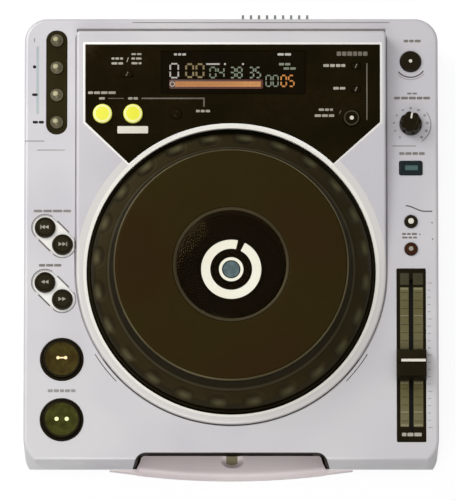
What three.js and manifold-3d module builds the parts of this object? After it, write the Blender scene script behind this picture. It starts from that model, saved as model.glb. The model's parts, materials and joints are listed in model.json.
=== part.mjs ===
// A tabletop CD player for DJ use, slot loading, with a large jog wheel.
// Millimetres, +Z up, +X to the right, +Y to the rear. The origin is on the table,
// under the middle of the player's outline.
import * as THREE from 'three';
import { mergeVertices } from 'three/addons/utils/BufferGeometryUtils.js';
import Module from 'manifold-3d';

const wasm = await Module();
wasm.setup();

// Driving dimensions of the case
const case_width = 305;
const case_height = 70;
const foot_height = 6;
const wall = 3;
const gap = 0.3;
const overrun = 2;
const lip_reach = 10;
const fin_reach = 5;
const rear_corner_radius = 17;
const front_corner_radius = 20;
const nose_reach = 4.2;
const nose_drop = 18;
const undercut = 9;

// The raised platform that carries the jog wheel and the display panel. It leaves a column of deck
// at each side, and a margin in front and at the rear.
const column_width = 38.5;
const platform_front_margin = 26.2;
const platform_rear_margin = 12.7;
const platform_half_width = case_width / 2 - column_width;
const platform_corner_radius = 4;
const platform_wall = 4;
const collar_step = 3;
const platform_rise = 14;

// The jog wheel, the collar round it, and the band of panel between the collar and its rear edge
const collar_margin = 4;
const collar_width = 4.1;
const panel_band = 58.5;
const panel_rear_margin = 10.1;
const panel_arc_radius = platform_half_width - collar_margin;
const well_radius = panel_arc_radius - collar_width - gap;
const panel_rear = panel_arc_radius + panel_band;
const slope = Math.asin(platform_rise / (panel_rear + panel_rear_margin));
const platform_reach = (panel_rear + panel_rear_margin) * Math.cos(slope);
const jog_from_rear = platform_rear_margin + platform_reach;
const case_depth = jog_from_rear + platform_half_width + platform_front_margin;
const well_wall = 1.5;
const well_depth = 9;
const well_floor = 2;
const well_flange = 12.4;
const ring_clearance = 0.8;
const dimple_count = 24;

// Facets round a full turn, by the size of what turns
const wheel_steps = 48;
const middle_steps = 24;
const button_steps = 16;
const point_steps = 12;
const small_steps = 8;

// Heights and places that other pieces follow
const case_bottom = foot_height;
const deck_z = case_bottom + case_height;
const collar_z = deck_z + collar_step;
const half_width = case_width / 2;
const rear_y = (case_depth + lip_reach + fin_reach) / 2 - fin_reach;
const front_y = rear_y - case_depth;
const nose_y = front_y - nose_reach;
const nose_z = deck_z - nose_drop;
const jog_y = rear_y - jog_from_rear;
const platform_rear_y = jog_y + platform_reach;
const well_floor_z = collar_z - well_depth;

const axis_x = new THREE.Vector3(1, 0, 0);
const axis_y = new THREE.Vector3(0, 1, 0);
const axis_z = new THREE.Vector3(0, 0, 1);
const upright_along_x = new THREE.Matrix4().makeBasis(axis_y, axis_z, axis_x);

// Geometry helpers. Every one gives a closed surface with shared corners.

function tidy(geometry) {
  const bare = geometry.clone();
  bare.deleteAttribute('normal');
  bare.deleteAttribute('uv');
  const merged = mergeVertices(bare);
  const position = merged.getAttribute('position');
  const corner = merged.getIndex().array;
  const kept = [];
  let volume = 0;
  const a = new THREE.Vector3();
  const b = new THREE.Vector3();
  const c = new THREE.Vector3();
  for (let i = 0; i < corner.length; i += 3) {
    const [p, q, r] = [corner[i], corner[i + 1], corner[i + 2]];
    if (p === q || q === r || r === p) continue;
    kept.push(p, q, r);
    a.fromBufferAttribute(position, p);
    b.fromBufferAttribute(position, q);
    c.fromBufferAttribute(position, r);
    volume += a.dot(b.cross(c));
  }
  if (volume < 0) kept.reverse();
  merged.setIndex(kept);
  return merged;
}

function solid(geometry) {
  const clean = tidy(geometry);
  return new wasm.Manifold(new wasm.Mesh({
    numProp: 3,
    vertProperties: Float32Array.from(clean.getAttribute('position').array),
    triVerts: Uint32Array.from(clean.getIndex().array),
  }));
}

function surface(body) {
  const mesh = body.getMesh();
  const geometry = new THREE.BufferGeometry();
  geometry.setAttribute('position', new THREE.BufferAttribute(mesh.vertProperties, 3));
  geometry.setIndex(new THREE.BufferAttribute(mesh.triVerts, 1));
  return geometry;
}

function join(...parts) {
  return surface(parts.map(solid).reduce((whole, part) => whole.add(part)));
}

function cut(base, ...tools) {
  return surface(tools.map(solid).reduce((rest, tool) => rest.subtract(tool), solid(base)));
}

function common(first, second) {
  return surface(solid(first).intersect(solid(second)));
}

function outline(points) {
  return new THREE.Shape(points.map(([x, y]) => new THREE.Vector2(x, y)));
}

// shape in (x, y), carried from low to high. Each arc of a shape is a quarter turn, and has a
// quarter of the facets: the shape counts two for each of its curve segments.
function prism(shape, low, high, steps = small_steps) {
  const geometry = new THREE.ExtrudeGeometry(shape, {
    depth: high - low, bevelEnabled: false, curveSegments: Math.ceil(steps / 8),
  });
  return geometry.translate(0, 0, low);
}

// shape in (y, z), carried from left to right
function prism_x(shape, left, right, steps) {
  return prism(shape, left, right, steps).applyMatrix4(upright_along_x);
}

function block(x, y, z) {
  const size = [x, y, z].map(([low, high]) => high - low);
  const middle = [x, y, z].map(([low, high]) => (low + high) / 2);
  return new THREE.BoxGeometry(...size).translate(...middle);
}

// about a middle, with whole width and depth
function block_at(x, y, width, depth, low, high) {
  return block([x - width / 2, x + width / 2], [y - depth / 2, y + depth / 2], [low, high]);
}

function rounded(x, y, width, depth, radius) {
  const shape = new THREE.Shape();
  const [left, right] = [x - width / 2, x + width / 2];
  const [front, rear] = [y - depth / 2, y + depth / 2];
  shape.moveTo(left + radius, front);
  shape.lineTo(right - radius, front);
  shape.absarc(right - radius, front + radius, radius, -Math.PI / 2, 0);
  shape.lineTo(right, rear - radius);
  shape.absarc(right - radius, rear - radius, radius, 0, Math.PI / 2);
  shape.lineTo(left + radius, rear);
  shape.absarc(left + radius, rear - radius, radius, Math.PI / 2, Math.PI);
  shape.lineTo(left, front + radius);
  shape.absarc(left + radius, front + radius, radius, Math.PI, 1.5 * Math.PI);
  return shape;
}

// profile of [radius, height] points about Z, from the axis to the axis or closed on itself
function revolve(profile, steps, x = 0, y = 0) {
  const on_axis = profile[0][0] === 0;
  const round_trip = on_axis ? profile : profile.concat([profile[0]]);
  const points = round_trip.map(([r, z]) => new THREE.Vector2(r, z));
  return new THREE.LatheGeometry(points, steps).rotateX(Math.PI / 2).translate(x, y, 0);
}

function rod(radius, low, high, x = 0, y = 0, steps = small_steps) {
  return new THREE.CylinderGeometry(radius, radius, high - low, steps)
    .rotateX(Math.PI / 2).translate(x, y, (low + high) / 2);
}

function rod_x(radius, left, right, y, z, steps = small_steps) {
  return new THREE.CylinderGeometry(radius, radius, right - left, steps)
    .rotateZ(Math.PI / 2).translate((left + right) / 2, y, z);
}

function rod_y(radius, front, rear, x, z, steps = small_steps) {
  return new THREE.CylinderGeometry(radius, radius, rear - front, steps)
    .translate(x, (front + rear) / 2, z);
}

// a ring with square section
function tube(outer, inner, low, high, steps) {
  return revolve([[inner, low], [outer, low], [outer, high], [inner, high]], steps);
}

// Finishes
function finish(color, roughness, metalness) {
  return new THREE.MeshStandardMaterial({ color, roughness, metalness });
}
const silver = finish(0xcbc8cc, 0.45, 0.35);
const black_gloss = finish(0x14100a, 0.12, 0);
const black_matte = finish(0x1c1a16, 0.6, 0);
const jog_plastic = finish(0x2f2811, 0.5, 0);
const dark_glass = finish(0x1a110c, 0.08, 0);
const yellow_plastic = finish(0xf2f24e, 0.4, 0);
const olive_plastic = finish(0x46432a, 0.5, 0);
const teal_plastic = finish(0x1f3a3a, 0.4, 0);
const steel = finish(0x8d8f91, 0.4, 0.9);
const aluminium = finish(0xb9bbbd, 0.4, 0.9);
const rubber = finish(0x171717, 0.9, 0);
const board_green = finish(0x23402b, 0.6, 0);
const white_print = finish(0xdedccb, 0.5, 0);

const player = new THREE.Group();
const panel_group = new THREE.Group();
panel_group.position.set(0, jog_y, collar_z);
panel_group.rotation.x = slope;
panel_group.updateMatrix();
const jog_group = new THREE.Group();
jog_group.position.set(0, jog_y, 0);
player.add(panel_group, jog_group);

function place(group, name, geometry, material) {
  const mesh = new THREE.Mesh(geometry, material);
  mesh.name = name;
  group.add(mesh);
  return mesh;
}

// Cuts that follow the sloped platform are made in its own frame
function on_slope(geometry) {
  return geometry.clone().applyMatrix4(panel_group.matrix);
}

// Round buttons: a cap that stands proud, over a stem that reaches down to its switch
const button_edge = 0.6;
const button_skirt = 2;
const stem_radius = 2;
const press_travel = 1.2;
const press_rest = 0.4;

function round_button(radius, top, cap_low, stem_low, crown, steps = button_steps) {
  const edge = Math.min(button_edge, radius / 3);
  return revolve([
    [0, stem_low], [stem_radius, stem_low], [stem_radius, cap_low], [radius, cap_low],
    [radius, top - edge], [radius - edge, top], [0, top + crown],
  ], steps);
}

// The switch board hangs under the deck on bosses of the case
const board_drop = 17;
const board_thickness = 1.6;
const board_inset = 4.5;
const board_arm = 32;
const board_rear_inset = 7;
const board_front_inset = 12;
const board_bridge = 60;
const board_corner_radius = 14;
const switch_height = 4.5;
const switch_size = 6.2;
const board_top = deck_z - board_drop;
const switch_top = board_top + switch_height;
const stem_low = switch_top + press_travel + press_rest;
const deck_underside = deck_z - wall;
const cap_low = deck_underside - button_skirt;

// Left column: the four cue point buttons in their inlay
const inlay_inset = 23.8;
const inlay_width = 15.6;
const inlay_middle_share = 0.1456;
const inlay_length_share = 0.2369;
const inlay_sunk = 0.8;
const inlay_thickness = 2.2;
const point_shares = [0.0502, 0.1124, 0.1746, 0.2368];
const point_radius = 4.7;
const point_proud = 1.6;
const from_rear = (share) => rear_y - share * case_depth;
const inlay_x = -half_width + inlay_inset;
const inlay_y = from_rear(inlay_middle_share);
const inlay_length = inlay_length_share * case_depth;
const point_places = point_shares.map((share) => [inlay_x, from_rear(share)]);

// Left column: track and search buttons in slanting pairs
const pair_inset = 15.5;
const pair_shift = 12.8;
const pair_shares = [0.4755, 0.5997];
const pair_radius = 7.5;
const pair_margin = 1.6;
const pair_recess = 0.8;
const pair_proud = 2.2;
const pair_names = [
  ['track_back_button', 'track_forward_button'],
  ['search_back_button', 'search_forward_button'],
];
const pair_x = -half_width + pair_inset;

// Left column: cue and play
const transport_inset = 28.1;
const cue_share = 0.7737;
const play_share = 0.9097;
const transport_radius = 15.75;
const transport_ring = 1.8;
const transport_ring_proud = 0.8;
const transport_proud = 2.6;
const transport_dish = 0.7;
const transport_x = -half_width + transport_inset;
const transport_places = {
  cue: from_rear(cue_share),
  play: from_rear(play_share),
};

// Right column
const right_inset = 20.1;
const right_x = half_width - right_inset;
const right_shares = { eject: 0.0982, knob: 0.2417, mode: 0.3405, range: 0.4619, master: 0.5242 };
const eject_y = from_rear(right_shares.eject);
const eject_radius = 7.6;
const eject_proud = 2;
const knob_y = from_rear(right_shares.knob);
const knob_radius = 8.4;
const knob_hole_radius = 4;
const knob_height = 12;
const knob_shaft_radius = 3;
const knob_flute_count = 7;
const knob_flute_radius = 2;
const mode_y = from_rear(right_shares.mode);
const mode_width = 16.6;
const mode_depth = 10.2;
const mode_corner = 1.2;
const mode_proud = 1.4;
const range_y = from_rear(right_shares.range);
const master_y = from_rear(right_shares.master);
const tempo_button_radius = 4.6;
const tempo_button_proud = 1.6;

// Tempo fader
const fader_share = 0.764;
const fader_width = 21;
const fader_length_share = 0.3903;
const fader_sunk = 0.8;
const fader_thickness = 2.2;
const fader_slot_width = 3.2;
const fader_end = 7.6;
const fader_cap_width = 22;
const fader_cap_length = 23;
const fader_cap_height = 11;
const fader_cap_waist = 2.2;
const fader_cap_offset = 7.7;
const fader_stem_width = 2.2;
const fader_stem_length = 8;
const fader_stem_depth = 9;
const fader_body_width = 12;
const fader_body_end = 2.6;
const fader_body_slot = 5;
const fader_y = from_rear(fader_share);
const fader_length = fader_length_share * case_depth;
const fader_slot_length = fader_length - 2 * fader_end;
const fader_body_length = fader_length - 2 * fader_body_end;

// Front notch, disc slot and lip
const notch_depth = 3.7;
const notch_half_width = 61.5;
const notch_flare = 11;
const disc_z = 51;
const slot_half_width = 60.7;
const slot_height = 6;
const slot_throat = 4.8;
const lip_top = 47;
const lip_bottom = 26;
const lip_half_width = 93;
const lip_round = 6;
const scoop_width = 7;
const scoop_length = 8;
const scoop_depth = 4;
const seal_margin = 5;
const seal_thickness = 1.5;

// Rear recess and what is in it
const recess_depth = 9;
const recess_side_inset = 34.5;
const recess_half_width = half_width - recess_side_inset;
const recess_low = 6;
const recess_high = 8;
const panel_window_margin = 3;
const sheet = 1.5;

// Case

function case_outline(inset) {
  const shape = new THREE.Shape();
  const side = half_width - inset;
  const [front, rear] = [nose_y + inset, rear_y - inset];
  const [front_round, rear_round] = [front_corner_radius - inset, rear_corner_radius - inset];
  shape.moveTo(-side + front_round, front);
  shape.lineTo(side - front_round, front);
  shape.absarc(side - front_round, front + front_round, front_round, -Math.PI / 2, 0);
  shape.lineTo(side, rear - rear_round);
  shape.absarc(side - rear_round, rear - rear_round, rear_round, 0, Math.PI / 2);
  shape.lineTo(-side + rear_round, rear);
  shape.absarc(-side + rear_round, rear - rear_round, rear_round, Math.PI / 2, Math.PI);
  shape.lineTo(-side, front + front_round);
  shape.absarc(-side + front_round, front + front_round, front_round, Math.PI, 1.5 * Math.PI);
  return shape;
}

function case_side(inset, bottom) {
  return outline([
    [nose_y + undercut + inset, bottom],
    [nose_y + inset, nose_z],
    [front_y + inset, deck_z - inset],
    [rear_y - inset + overrun, deck_z - inset],
    [rear_y - inset + overrun, bottom],
  ]);
}

function case_body(inset, bottom) {
  return common(
    prism(case_outline(inset), bottom, deck_z + overrun, middle_steps),
    prism_x(case_side(inset, bottom), -half_width - overrun, half_width + overrun),
  );
}

function platform_outline(inset) {
  const shape = new THREE.Shape();
  const side = platform_half_width - inset;
  const rear = platform_rear_y - inset;
  const round = platform_corner_radius;
  shape.moveTo(side, jog_y);
  shape.lineTo(side, rear - round);
  shape.absarc(side - round, rear - round, round, 0, Math.PI / 2);
  shape.lineTo(-side + round, rear);
  shape.absarc(-side + round, rear - round, round, Math.PI / 2, Math.PI);
  shape.lineTo(-side, jog_y);
  shape.absarc(0, jog_y, side, Math.PI, 1.5 * Math.PI);
  shape.absarc(0, jog_y, side, 1.5 * Math.PI, 2 * Math.PI);
  return shape;
}

function platform_body(inset, thickness, bottom) {
  const rear = platform_rear_y + overrun;
  const top = collar_z - thickness;
  const side = outline([
    [jog_y - platform_half_width - overrun, bottom],
    [rear, bottom],
    [rear, top + (rear - jog_y) * Math.tan(slope)],
    [jog_y, top],
    [jog_y - platform_half_width - overrun, top],
  ]);
  return common(
    prism(platform_outline(inset), bottom, collar_z + platform_rise + overrun, wheel_steps),
    prism_x(side, -platform_half_width - overrun, platform_half_width + overrun),
  );
}

const notch_y = front_y + notch_depth;

function notch(margin, bottom) {
  const run = notch_depth + nose_reach + overrun;
  const flare = notch_flare * run / (notch_depth + nose_reach);
  const half = notch_half_width + margin;
  return prism(outline([
    [-half, notch_y + margin],
    [half, notch_y + margin],
    [half + flare, notch_y - run],
    [-half - flare, notch_y - run],
  ]), bottom, deck_z + overrun);
}

const recess_y = rear_y - recess_depth;
const recess_bottom = case_bottom + recess_low;
const recess_top = deck_z - recess_high;

function rear_recess(margin) {
  return block(
    [-recess_half_width - margin, recess_half_width + margin],
    [recess_y - margin, rear_y + overrun],
    [recess_bottom - margin, recess_top + margin],
  );
}

// Slanting recess round one pair of buttons: a rounded bar between the two places
function pair_capsule(x, y) {
  const radius = pair_radius + pair_margin;
  const shape = new THREE.Shape();
  for (let quarter = 0; quarter < 4; quarter += 1) {
    const shift = quarter < 2 ? 0 : pair_shift;
    const start = Math.PI / 4 + quarter * Math.PI / 2;
    shape.absarc(x + shift, y - shift, radius, start, start + Math.PI / 2);
  }
  return shape;
}

const pair_rows = pair_shares.map(from_rear);

// Bosses of the case that the switch board hangs on: shares of the case's depth, at each side
const boss_radius = 3.5;
const boss_inset = 8.5;
const boss_inner_inset = 34.5;
const left_boss_shares = [0.162, 0.61, 0.92];
const right_boss_shares = [0.464, 0.78];
const inner_boss_share = 0.058;
const boss_row = (x, shares) => shares.map((back) => [x, front_y + back * case_depth]);
const boss_places = [
  ...boss_row(-half_width + boss_inset, left_boss_shares),
  ...boss_row(half_width - boss_inset, right_boss_shares),
  ...boss_row(half_width - boss_inner_inset, [inner_boss_share]),
];

function deck_holes() {
  const [low, high] = [deck_underside - overrun, deck_z + overrun];
  const bored = (radius, x, y, steps = button_steps) => rod(radius + gap, low, high, x, y, steps);
  const holes = [
    prism(rounded(inlay_x, inlay_y, inlay_width, inlay_length, inlay_width / 2 - gap), low, high, button_steps),
    bored(eject_radius, right_x, eject_y),
    bored(knob_hole_radius, right_x, knob_y, small_steps),
    bored(tempo_button_radius, right_x, range_y, point_steps),
    bored(tempo_button_radius, right_x, master_y, point_steps),
    block_at(right_x, mode_y, mode_width + 2 * gap, mode_depth + 2 * gap, low, high),
    block_at(right_x, fader_y, fader_width + 2 * gap, fader_length + 2 * gap, low, high),
  ];
  for (const y of Object.values(transport_places)) {
    holes.push(bored(transport_radius, transport_x, y));
  }
  for (const y of pair_rows) {
    holes.push(prism(pair_capsule(pair_x, y), deck_z - pair_recess, high, button_steps));
    holes.push(bored(pair_radius, pair_x, y));
    holes.push(bored(pair_radius, pair_x + pair_shift, y - pair_shift));
  }
  return holes;
}

// Display panel: straight at the rear, cut off by two diagonals and by an arc round the wheel.
// Its places are measured on the slope: across, and back from the wheel's centre. Keys and display
// lie at shares of its half width, and of the band between the arc and its rear edge.
const panel_side_margin = 5.5;
const panel_thickness = 2.5;
const panel_tip_share = 0.6845;
const loop_radius = 7;
const loop_proud = 2;
const reloop_radius = 4;
const return_radius = 6.2;
const time_width = 8;
const memory_width = 6;
const small_key_depth = 4;
const small_proud = 1;
const key_depth_below = 8;
const panel_half_width = platform_half_width - panel_side_margin;
const panel_tip = panel_tip_share * panel_arc_radius;
const on_panel = ([across, back]) => [across * panel_half_width, panel_arc_radius + back * panel_band];
const key_shares = {
  loop_in: [-0.874, 0.117],
  loop_out: [-0.667, 0.117],
  reloop: [-0.375, 0.117],
  return: [0.817, 0.064],
  time: [-0.708, 0.62],
  memory: [0.848, 0.722],
  call: [0.848, 0.429],
};
const key_places = Object.fromEntries(
  Object.entries(key_shares).map(([name, shares]) => [name, on_panel(shares)]),
);
const panel_shoulder = key_places.loop_in[1] - loop_radius + small_proud;
const glass_shares = [0.014, 0.642];
const glass_size_shares = [0.977, 0.539];
const [glass_across, glass_back] = on_panel(glass_shares);
const glass_width = glass_size_shares[0] * panel_half_width;
const glass_depth = glass_size_shares[1] * panel_band;

function panel_outline(margin) {
  const radius = panel_arc_radius - margin;
  const half = panel_half_width + margin;
  const tip_angle = Math.asin(panel_tip / panel_arc_radius);
  const shape = new THREE.Shape();
  shape.moveTo(-half, panel_rear + margin);
  shape.lineTo(-half, panel_shoulder - margin / 2);
  shape.lineTo(-radius * Math.sin(tip_angle) - margin, radius * Math.cos(tip_angle));
  shape.absarc(0, 0, radius, Math.PI / 2 + tip_angle, Math.PI / 2 - tip_angle, true);
  shape.lineTo(radius * Math.sin(tip_angle) + margin, radius * Math.cos(tip_angle));
  shape.lineTo(half, panel_shoulder - margin / 2);
  shape.lineTo(half, panel_rear + margin);
  return shape;
}

// Openings through the panel and the platform below it, grown by a margin
function panel_openings(margin, low, high) {
  const bored = (radius, x, y, steps) => rod(radius + margin, low, high, x, y, steps);
  const squared = (x, y, width, depth) => block_at(x, y, width + 2 * margin, depth + 2 * margin, low, high);
  return [
    bored(loop_radius, ...key_places.loop_in, button_steps),
    bored(loop_radius, ...key_places.loop_out, button_steps),
    bored(reloop_radius, ...key_places.reloop, point_steps),
    bored(return_radius, ...key_places.return, point_steps),
    squared(...key_places.time, time_width, small_key_depth),
    squared(...key_places.memory, memory_width, small_key_depth),
    squared(...key_places.call, memory_width, small_key_depth),
    squared(glass_across, glass_back, glass_width, glass_depth),
  ];
}

function top_case() {
  const floor = case_bottom - overrun;
  const hollow = cut(
    join(case_body(wall, floor), platform_body(wall, platform_wall, deck_z - 2 * wall)),
    notch(wall, lip_bottom - wall),
    rear_recess(wall),
  );
  const shell = cut(join(case_body(0, case_bottom), platform_body(0, 0, deck_z - wall)), hollow);
  const bosses = boss_places.map(([x, y]) => rod(boss_radius, board_top + gap, deck_underside + wall / 2, x, y));
  const window = block(
    [-recess_half_width + panel_window_margin, recess_half_width - panel_window_margin],
    [recess_y - wall - overrun, recess_y + overrun],
    [recess_bottom + panel_window_margin, recess_top - panel_window_margin],
  );
  const slot = block(
    [-slot_half_width, slot_half_width],
    [notch_y - overrun, notch_y + wall + overrun],
    [disc_z - slot_height / 2, disc_z + slot_height / 2],
  );
  const panel_low = -platform_wall - overrun;
  return cut(
    join(shell, ...bosses),
    notch(0, lip_bottom - gap),
    rear_recess(0),
    window,
    slot,
    rod(well_radius + gap, well_floor_z, collar_z + platform_rise, 0, jog_y, wheel_steps),
    on_slope(prism(panel_outline(gap), -panel_thickness, overrun, wheel_steps)),
    ...panel_openings(2 * gap, panel_low, overrun).map(on_slope),
    ...deck_holes(),
  );
}
place(player, 'top_case', top_case(), silver);

// The lip under the disc slot fills the notch and bulges forward in a flat arc
function disc_lip() {
  const front = -rear_y - fin_reach;
  const chord_y = nose_y + nose_reach / 2;
  const rise = chord_y - front;
  const radius = (lip_half_width ** 2 + rise ** 2) / (2 * rise);
  const half_angle = Math.asin(lip_half_width / radius);
  const bulge = new THREE.Shape();
  bulge.moveTo(lip_half_width, notch_y - gap);
  bulge.lineTo(-lip_half_width, notch_y - gap);
  bulge.lineTo(-lip_half_width, chord_y);
  bulge.absarc(0, front + radius, radius, -Math.PI / 2 - half_angle, -Math.PI / 2 + half_angle);
  const side = outline([
    [notch_y + overrun, lip_bottom],
    [nose_y + nose_reach, lip_bottom],
    [front + lip_round / 3, lip_top - 2 * lip_round],
    [front, lip_top - lip_round],
    [front + lip_round / 4, lip_top - lip_round / 4],
    [front + lip_round, lip_top],
    [notch_y + overrun, lip_top],
  ]);
  const block_of_lip = common(
    prism(bulge, lip_bottom, lip_top, wheel_steps),
    prism_x(side, -lip_half_width - overrun, lip_half_width + overrun),
  );
  const around = cut(case_body(-gap, case_bottom), notch(-gap, lip_bottom - wall));
  const scoop = new THREE.SphereGeometry(1, point_steps, point_steps / 2)
    .scale(scoop_width, scoop_length, scoop_depth)
    .translate(0, notch_y - scoop_length, lip_top);
  return cut(block_of_lip, around, scoop);
}
place(player, 'disc_lip', disc_lip(), silver);

// The dust seal is a soft frame behind the slot
function slot_seal() {
  const front = notch_y + wall + gap;
  const half = slot_half_width + seal_margin;
  const [low, high] = [disc_z - slot_height / 2 - seal_margin, disc_z + slot_height / 2 + seal_margin];
  return cut(
    block([-half, half], [front, front + seal_thickness], [low, high]),
    block(
      [-slot_half_width, slot_half_width],
      [front - overrun, front + seal_thickness + overrun],
      [disc_z - slot_throat / 2, disc_z + slot_throat / 2],
    ),
  );
}
place(player, 'slot_seal', slot_seal(), rubber);

// Base pan: a folded steel tray inside the case's lower edge
const pan_wall_height = 14;

function base_pan() {
  const slab = (low) => block([-case_width, case_width], [-case_depth, case_depth],
    [low, case_bottom + pan_wall_height]);
  const folded = cut(
    common(case_body(wall + gap, case_bottom - overrun), slab(case_bottom)),
    common(case_body(wall + gap + sheet, case_bottom - overrun), slab(case_bottom + sheet)),
  );
  return cut(folded, rear_recess(wall + gap));
}
place(player, 'base_pan', base_pan(), steel);
const pan_top = case_bottom + sheet;

// Feet
const foot_radius = 12;
const foot_side_inset = 32;
const foot_end_inset = 42;
const foot_taper = 1.5;

function foot() {
  return revolve([
    [0, 0], [foot_radius - foot_taper, 0], [foot_radius, foot_taper],
    [foot_radius, foot_height - gap], [0, foot_height - gap],
  ], point_steps);
}
const foot_places = {
  foot_front_left: [-1, nose_y + foot_end_inset],
  foot_front_right: [1, nose_y + foot_end_inset],
  foot_rear_left: [-1, rear_y - foot_end_inset],
  foot_rear_right: [1, rear_y - foot_end_inset],
};
for (const [name, [side, y]] of Object.entries(foot_places)) {
  place(player, name, foot(), rubber).position.set(side * (half_width - foot_side_inset), y, 0);
}

// Rear panel with its sockets, switch and heat sink. Places run along X on the panel's face.
const inlet_inset = 21;
const inlet_width = 28;
const inlet_height = 22;
const inlet_flange = 3;
const inlet_body_depth = 18;
const inlet_socket_margin = 3;
const inlet_pin_radius = 1.2;
const inlet_proud = 5;
const switch_inset = 56;
const rocker_width = 12;
const rocker_height = 18;
const rocker_depth = 9;
const rocker_lean = 1.6;
const rocker_clearance = 0.6;
const jacks_share = 0.739;
const jack_pitch_share = 0.1186;
const jack_count = 4;
const jack_radius = 4.3;
const jack_bore_radius = 2.1;
const jack_reach = 7.5;
const jack_plate_height = 10;
const sink_share = 0.2754;
const sink_fin_count = 9;
const sink_fin_pitch_share = 0.0504;
const sink_fin_thickness = 1.8;
const sink_margin = 1;
const sink_base = 3;
const sink_bottom_inset = 6;
const inlet_x = -recess_half_width + inlet_inset;
const switch_x = -recess_half_width + switch_inset;
const jacks_x = jacks_share * recess_half_width;
const jack_pitch = jack_pitch_share * recess_half_width;
const sink_x = sink_share * recess_half_width;
const sink_fin_pitch = sink_fin_pitch_share * recess_half_width;
const panel_outer_y = recess_y - wall - gap;
const panel_inner_y = panel_outer_y - sheet;
const rear_middle_z = (recess_bottom + recess_top) / 2;

function rear_panel() {
  const margin = wall + gap;
  const plate = block(
    [-recess_half_width + gap, recess_half_width - gap],
    [panel_inner_y, panel_outer_y],
    [pan_top + gap, recess_top - gap],
  );
  return cut(
    plate,
    block_at(inlet_x, panel_outer_y, inlet_width + 2 * gap, 2 * margin,
      rear_middle_z - inlet_height / 2 - gap, rear_middle_z + inlet_height / 2 + gap),
    block_at(switch_x, panel_outer_y, rocker_width + 2 * gap, 2 * margin,
      rear_middle_z - rocker_height / 2 - rocker_clearance,
      rear_middle_z + rocker_height / 2 + rocker_clearance),
  );
}
place(player, 'rear_panel', rear_panel(), steel);

function power_inlet() {
  const [low, high] = [rear_middle_z - inlet_height / 2, rear_middle_z + inlet_height / 2];
  const [left, right] = [inlet_x - inlet_width / 2, inlet_x + inlet_width / 2];
  const flange_y = panel_outer_y + gap;
  const front_y_of_body = panel_inner_y - inlet_body_depth;
  const rim = inlet_socket_margin;
  const shell = cut(
    join(
      block([left, right], [front_y_of_body, flange_y + inlet_proud], [low, high]),
      block([left - inlet_flange, right + inlet_flange], [flange_y, flange_y + sheet],
        [low - inlet_flange, high + inlet_flange]),
    ),
    block([left + rim, right - rim], [front_y_of_body + rim, flange_y + inlet_proud + overrun],
      [low + rim, high - rim]),
  );
  const pin_pitch = inlet_width / 4;
  const pins = [-1, 0, 1].map((side) => rod_y(
    inlet_pin_radius, front_y_of_body + rim / 2, flange_y,
    inlet_x + side * pin_pitch, rear_middle_z + (side === 0 ? 1 : -1) * inlet_pin_radius,
  ));
  return join(shell, ...pins);
}
place(player, 'power_inlet', power_inlet(), black_matte);

// The rocker leans on a pin across its middle
function power_switch() {
  const half = rocker_height / 2;
  const rocker = outline([
    [-rocker_depth / 2, -half / 2],
    [0, -half],
    [rocker_depth / 4, -half],
    [rocker_depth / 4 + rocker_lean / 4, 0],
    [rocker_depth / 4 + rocker_lean, half],
    [0, half],
    [-rocker_depth / 2, half / 2],
  ]);
  const half_x = rocker_width / 2;
  return prism_x(rocker, -half_x, half_x);
}
place(player, 'power_switch', power_switch(), black_matte)
  .position.set(switch_x, panel_outer_y - sheet / 2, rear_middle_z);

function audio_jacks() {
  const span = (jack_count - 1) * jack_pitch;
  const [near, far] = [panel_outer_y + gap, panel_outer_y + gap + jack_reach];
  const half = jack_plate_height / 2;
  const barrels = [];
  const bores = [];
  for (let i = 0; i < jack_count; i += 1) {
    const x = jacks_x - span / 2 + i * jack_pitch;
    barrels.push(rod_y(jack_radius, near, far, x, rear_middle_z, small_steps));
    bores.push(rod_y(jack_bore_radius, near + sheet, far + overrun, x, rear_middle_z));
  }
  const plate = block([jacks_x - span / 2 - half, jacks_x + span / 2 + half], [near, near + sheet],
    [rear_middle_z - half, rear_middle_z + half]);
  return cut(join(plate, ...barrels), ...bores);
}
place(player, 'audio_jacks', audio_jacks(), black_matte);

function heat_sink() {
  const low = recess_bottom + sink_bottom_inset;
  const high = recess_top - panel_window_margin - gap;
  const span = (sink_fin_count - 1) * sink_fin_pitch + sink_fin_thickness;
  const near = panel_outer_y + gap;
  const base = block([sink_x - span / 2 - sink_margin, sink_x + span / 2 + sink_margin],
    [near, near + sink_base], [low, high]);
  const fins = [];
  for (let i = 0; i < sink_fin_count; i += 1) {
    const x = sink_x - span / 2 + sink_fin_thickness / 2 + i * sink_fin_pitch;
    fins.push(block([x - sink_fin_thickness / 2, x + sink_fin_thickness / 2],
      [near + sink_base / 2, rear_y + fin_reach], [low, high]));
  }
  return join(base, ...fins);
}
place(player, 'heat_sink', heat_sink(), aluminium);

// Left inlay and its buttons
function cue_inlay() {
  const [high, low] = [deck_z - inlay_sunk, deck_z - inlay_sunk - inlay_thickness];
  const plate = prism(
    rounded(inlay_x, inlay_y, inlay_width - 2 * gap, inlay_length - 2 * gap, inlay_width / 2 - 2 * gap),
    low, high, button_steps,
  );
  const holes = point_places.map(([x, y]) => rod(point_radius + gap, low - overrun, high + overrun, x, y,
    point_steps));
  return cut(plate, ...holes);
}
place(player, 'cue_inlay', cue_inlay(), black_matte);
point_places.forEach(([x, y], i) => {
  const button = round_button(point_radius, deck_z + point_proud, cap_low, stem_low, button_edge, point_steps);
  place(player, `cue_point_button_${i + 1}`, button, olive_plastic).position.set(x, y, 0);
});

pair_names.forEach((names, row) => {
  names.forEach((name, i) => {
    const button = round_button(pair_radius, deck_z + pair_proud, cap_low, stem_low, -button_edge);
    place(player, name, button, black_gloss)
      .position.set(pair_x + i * pair_shift, pair_rows[row] - i * pair_shift, 0);
  });
});

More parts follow.
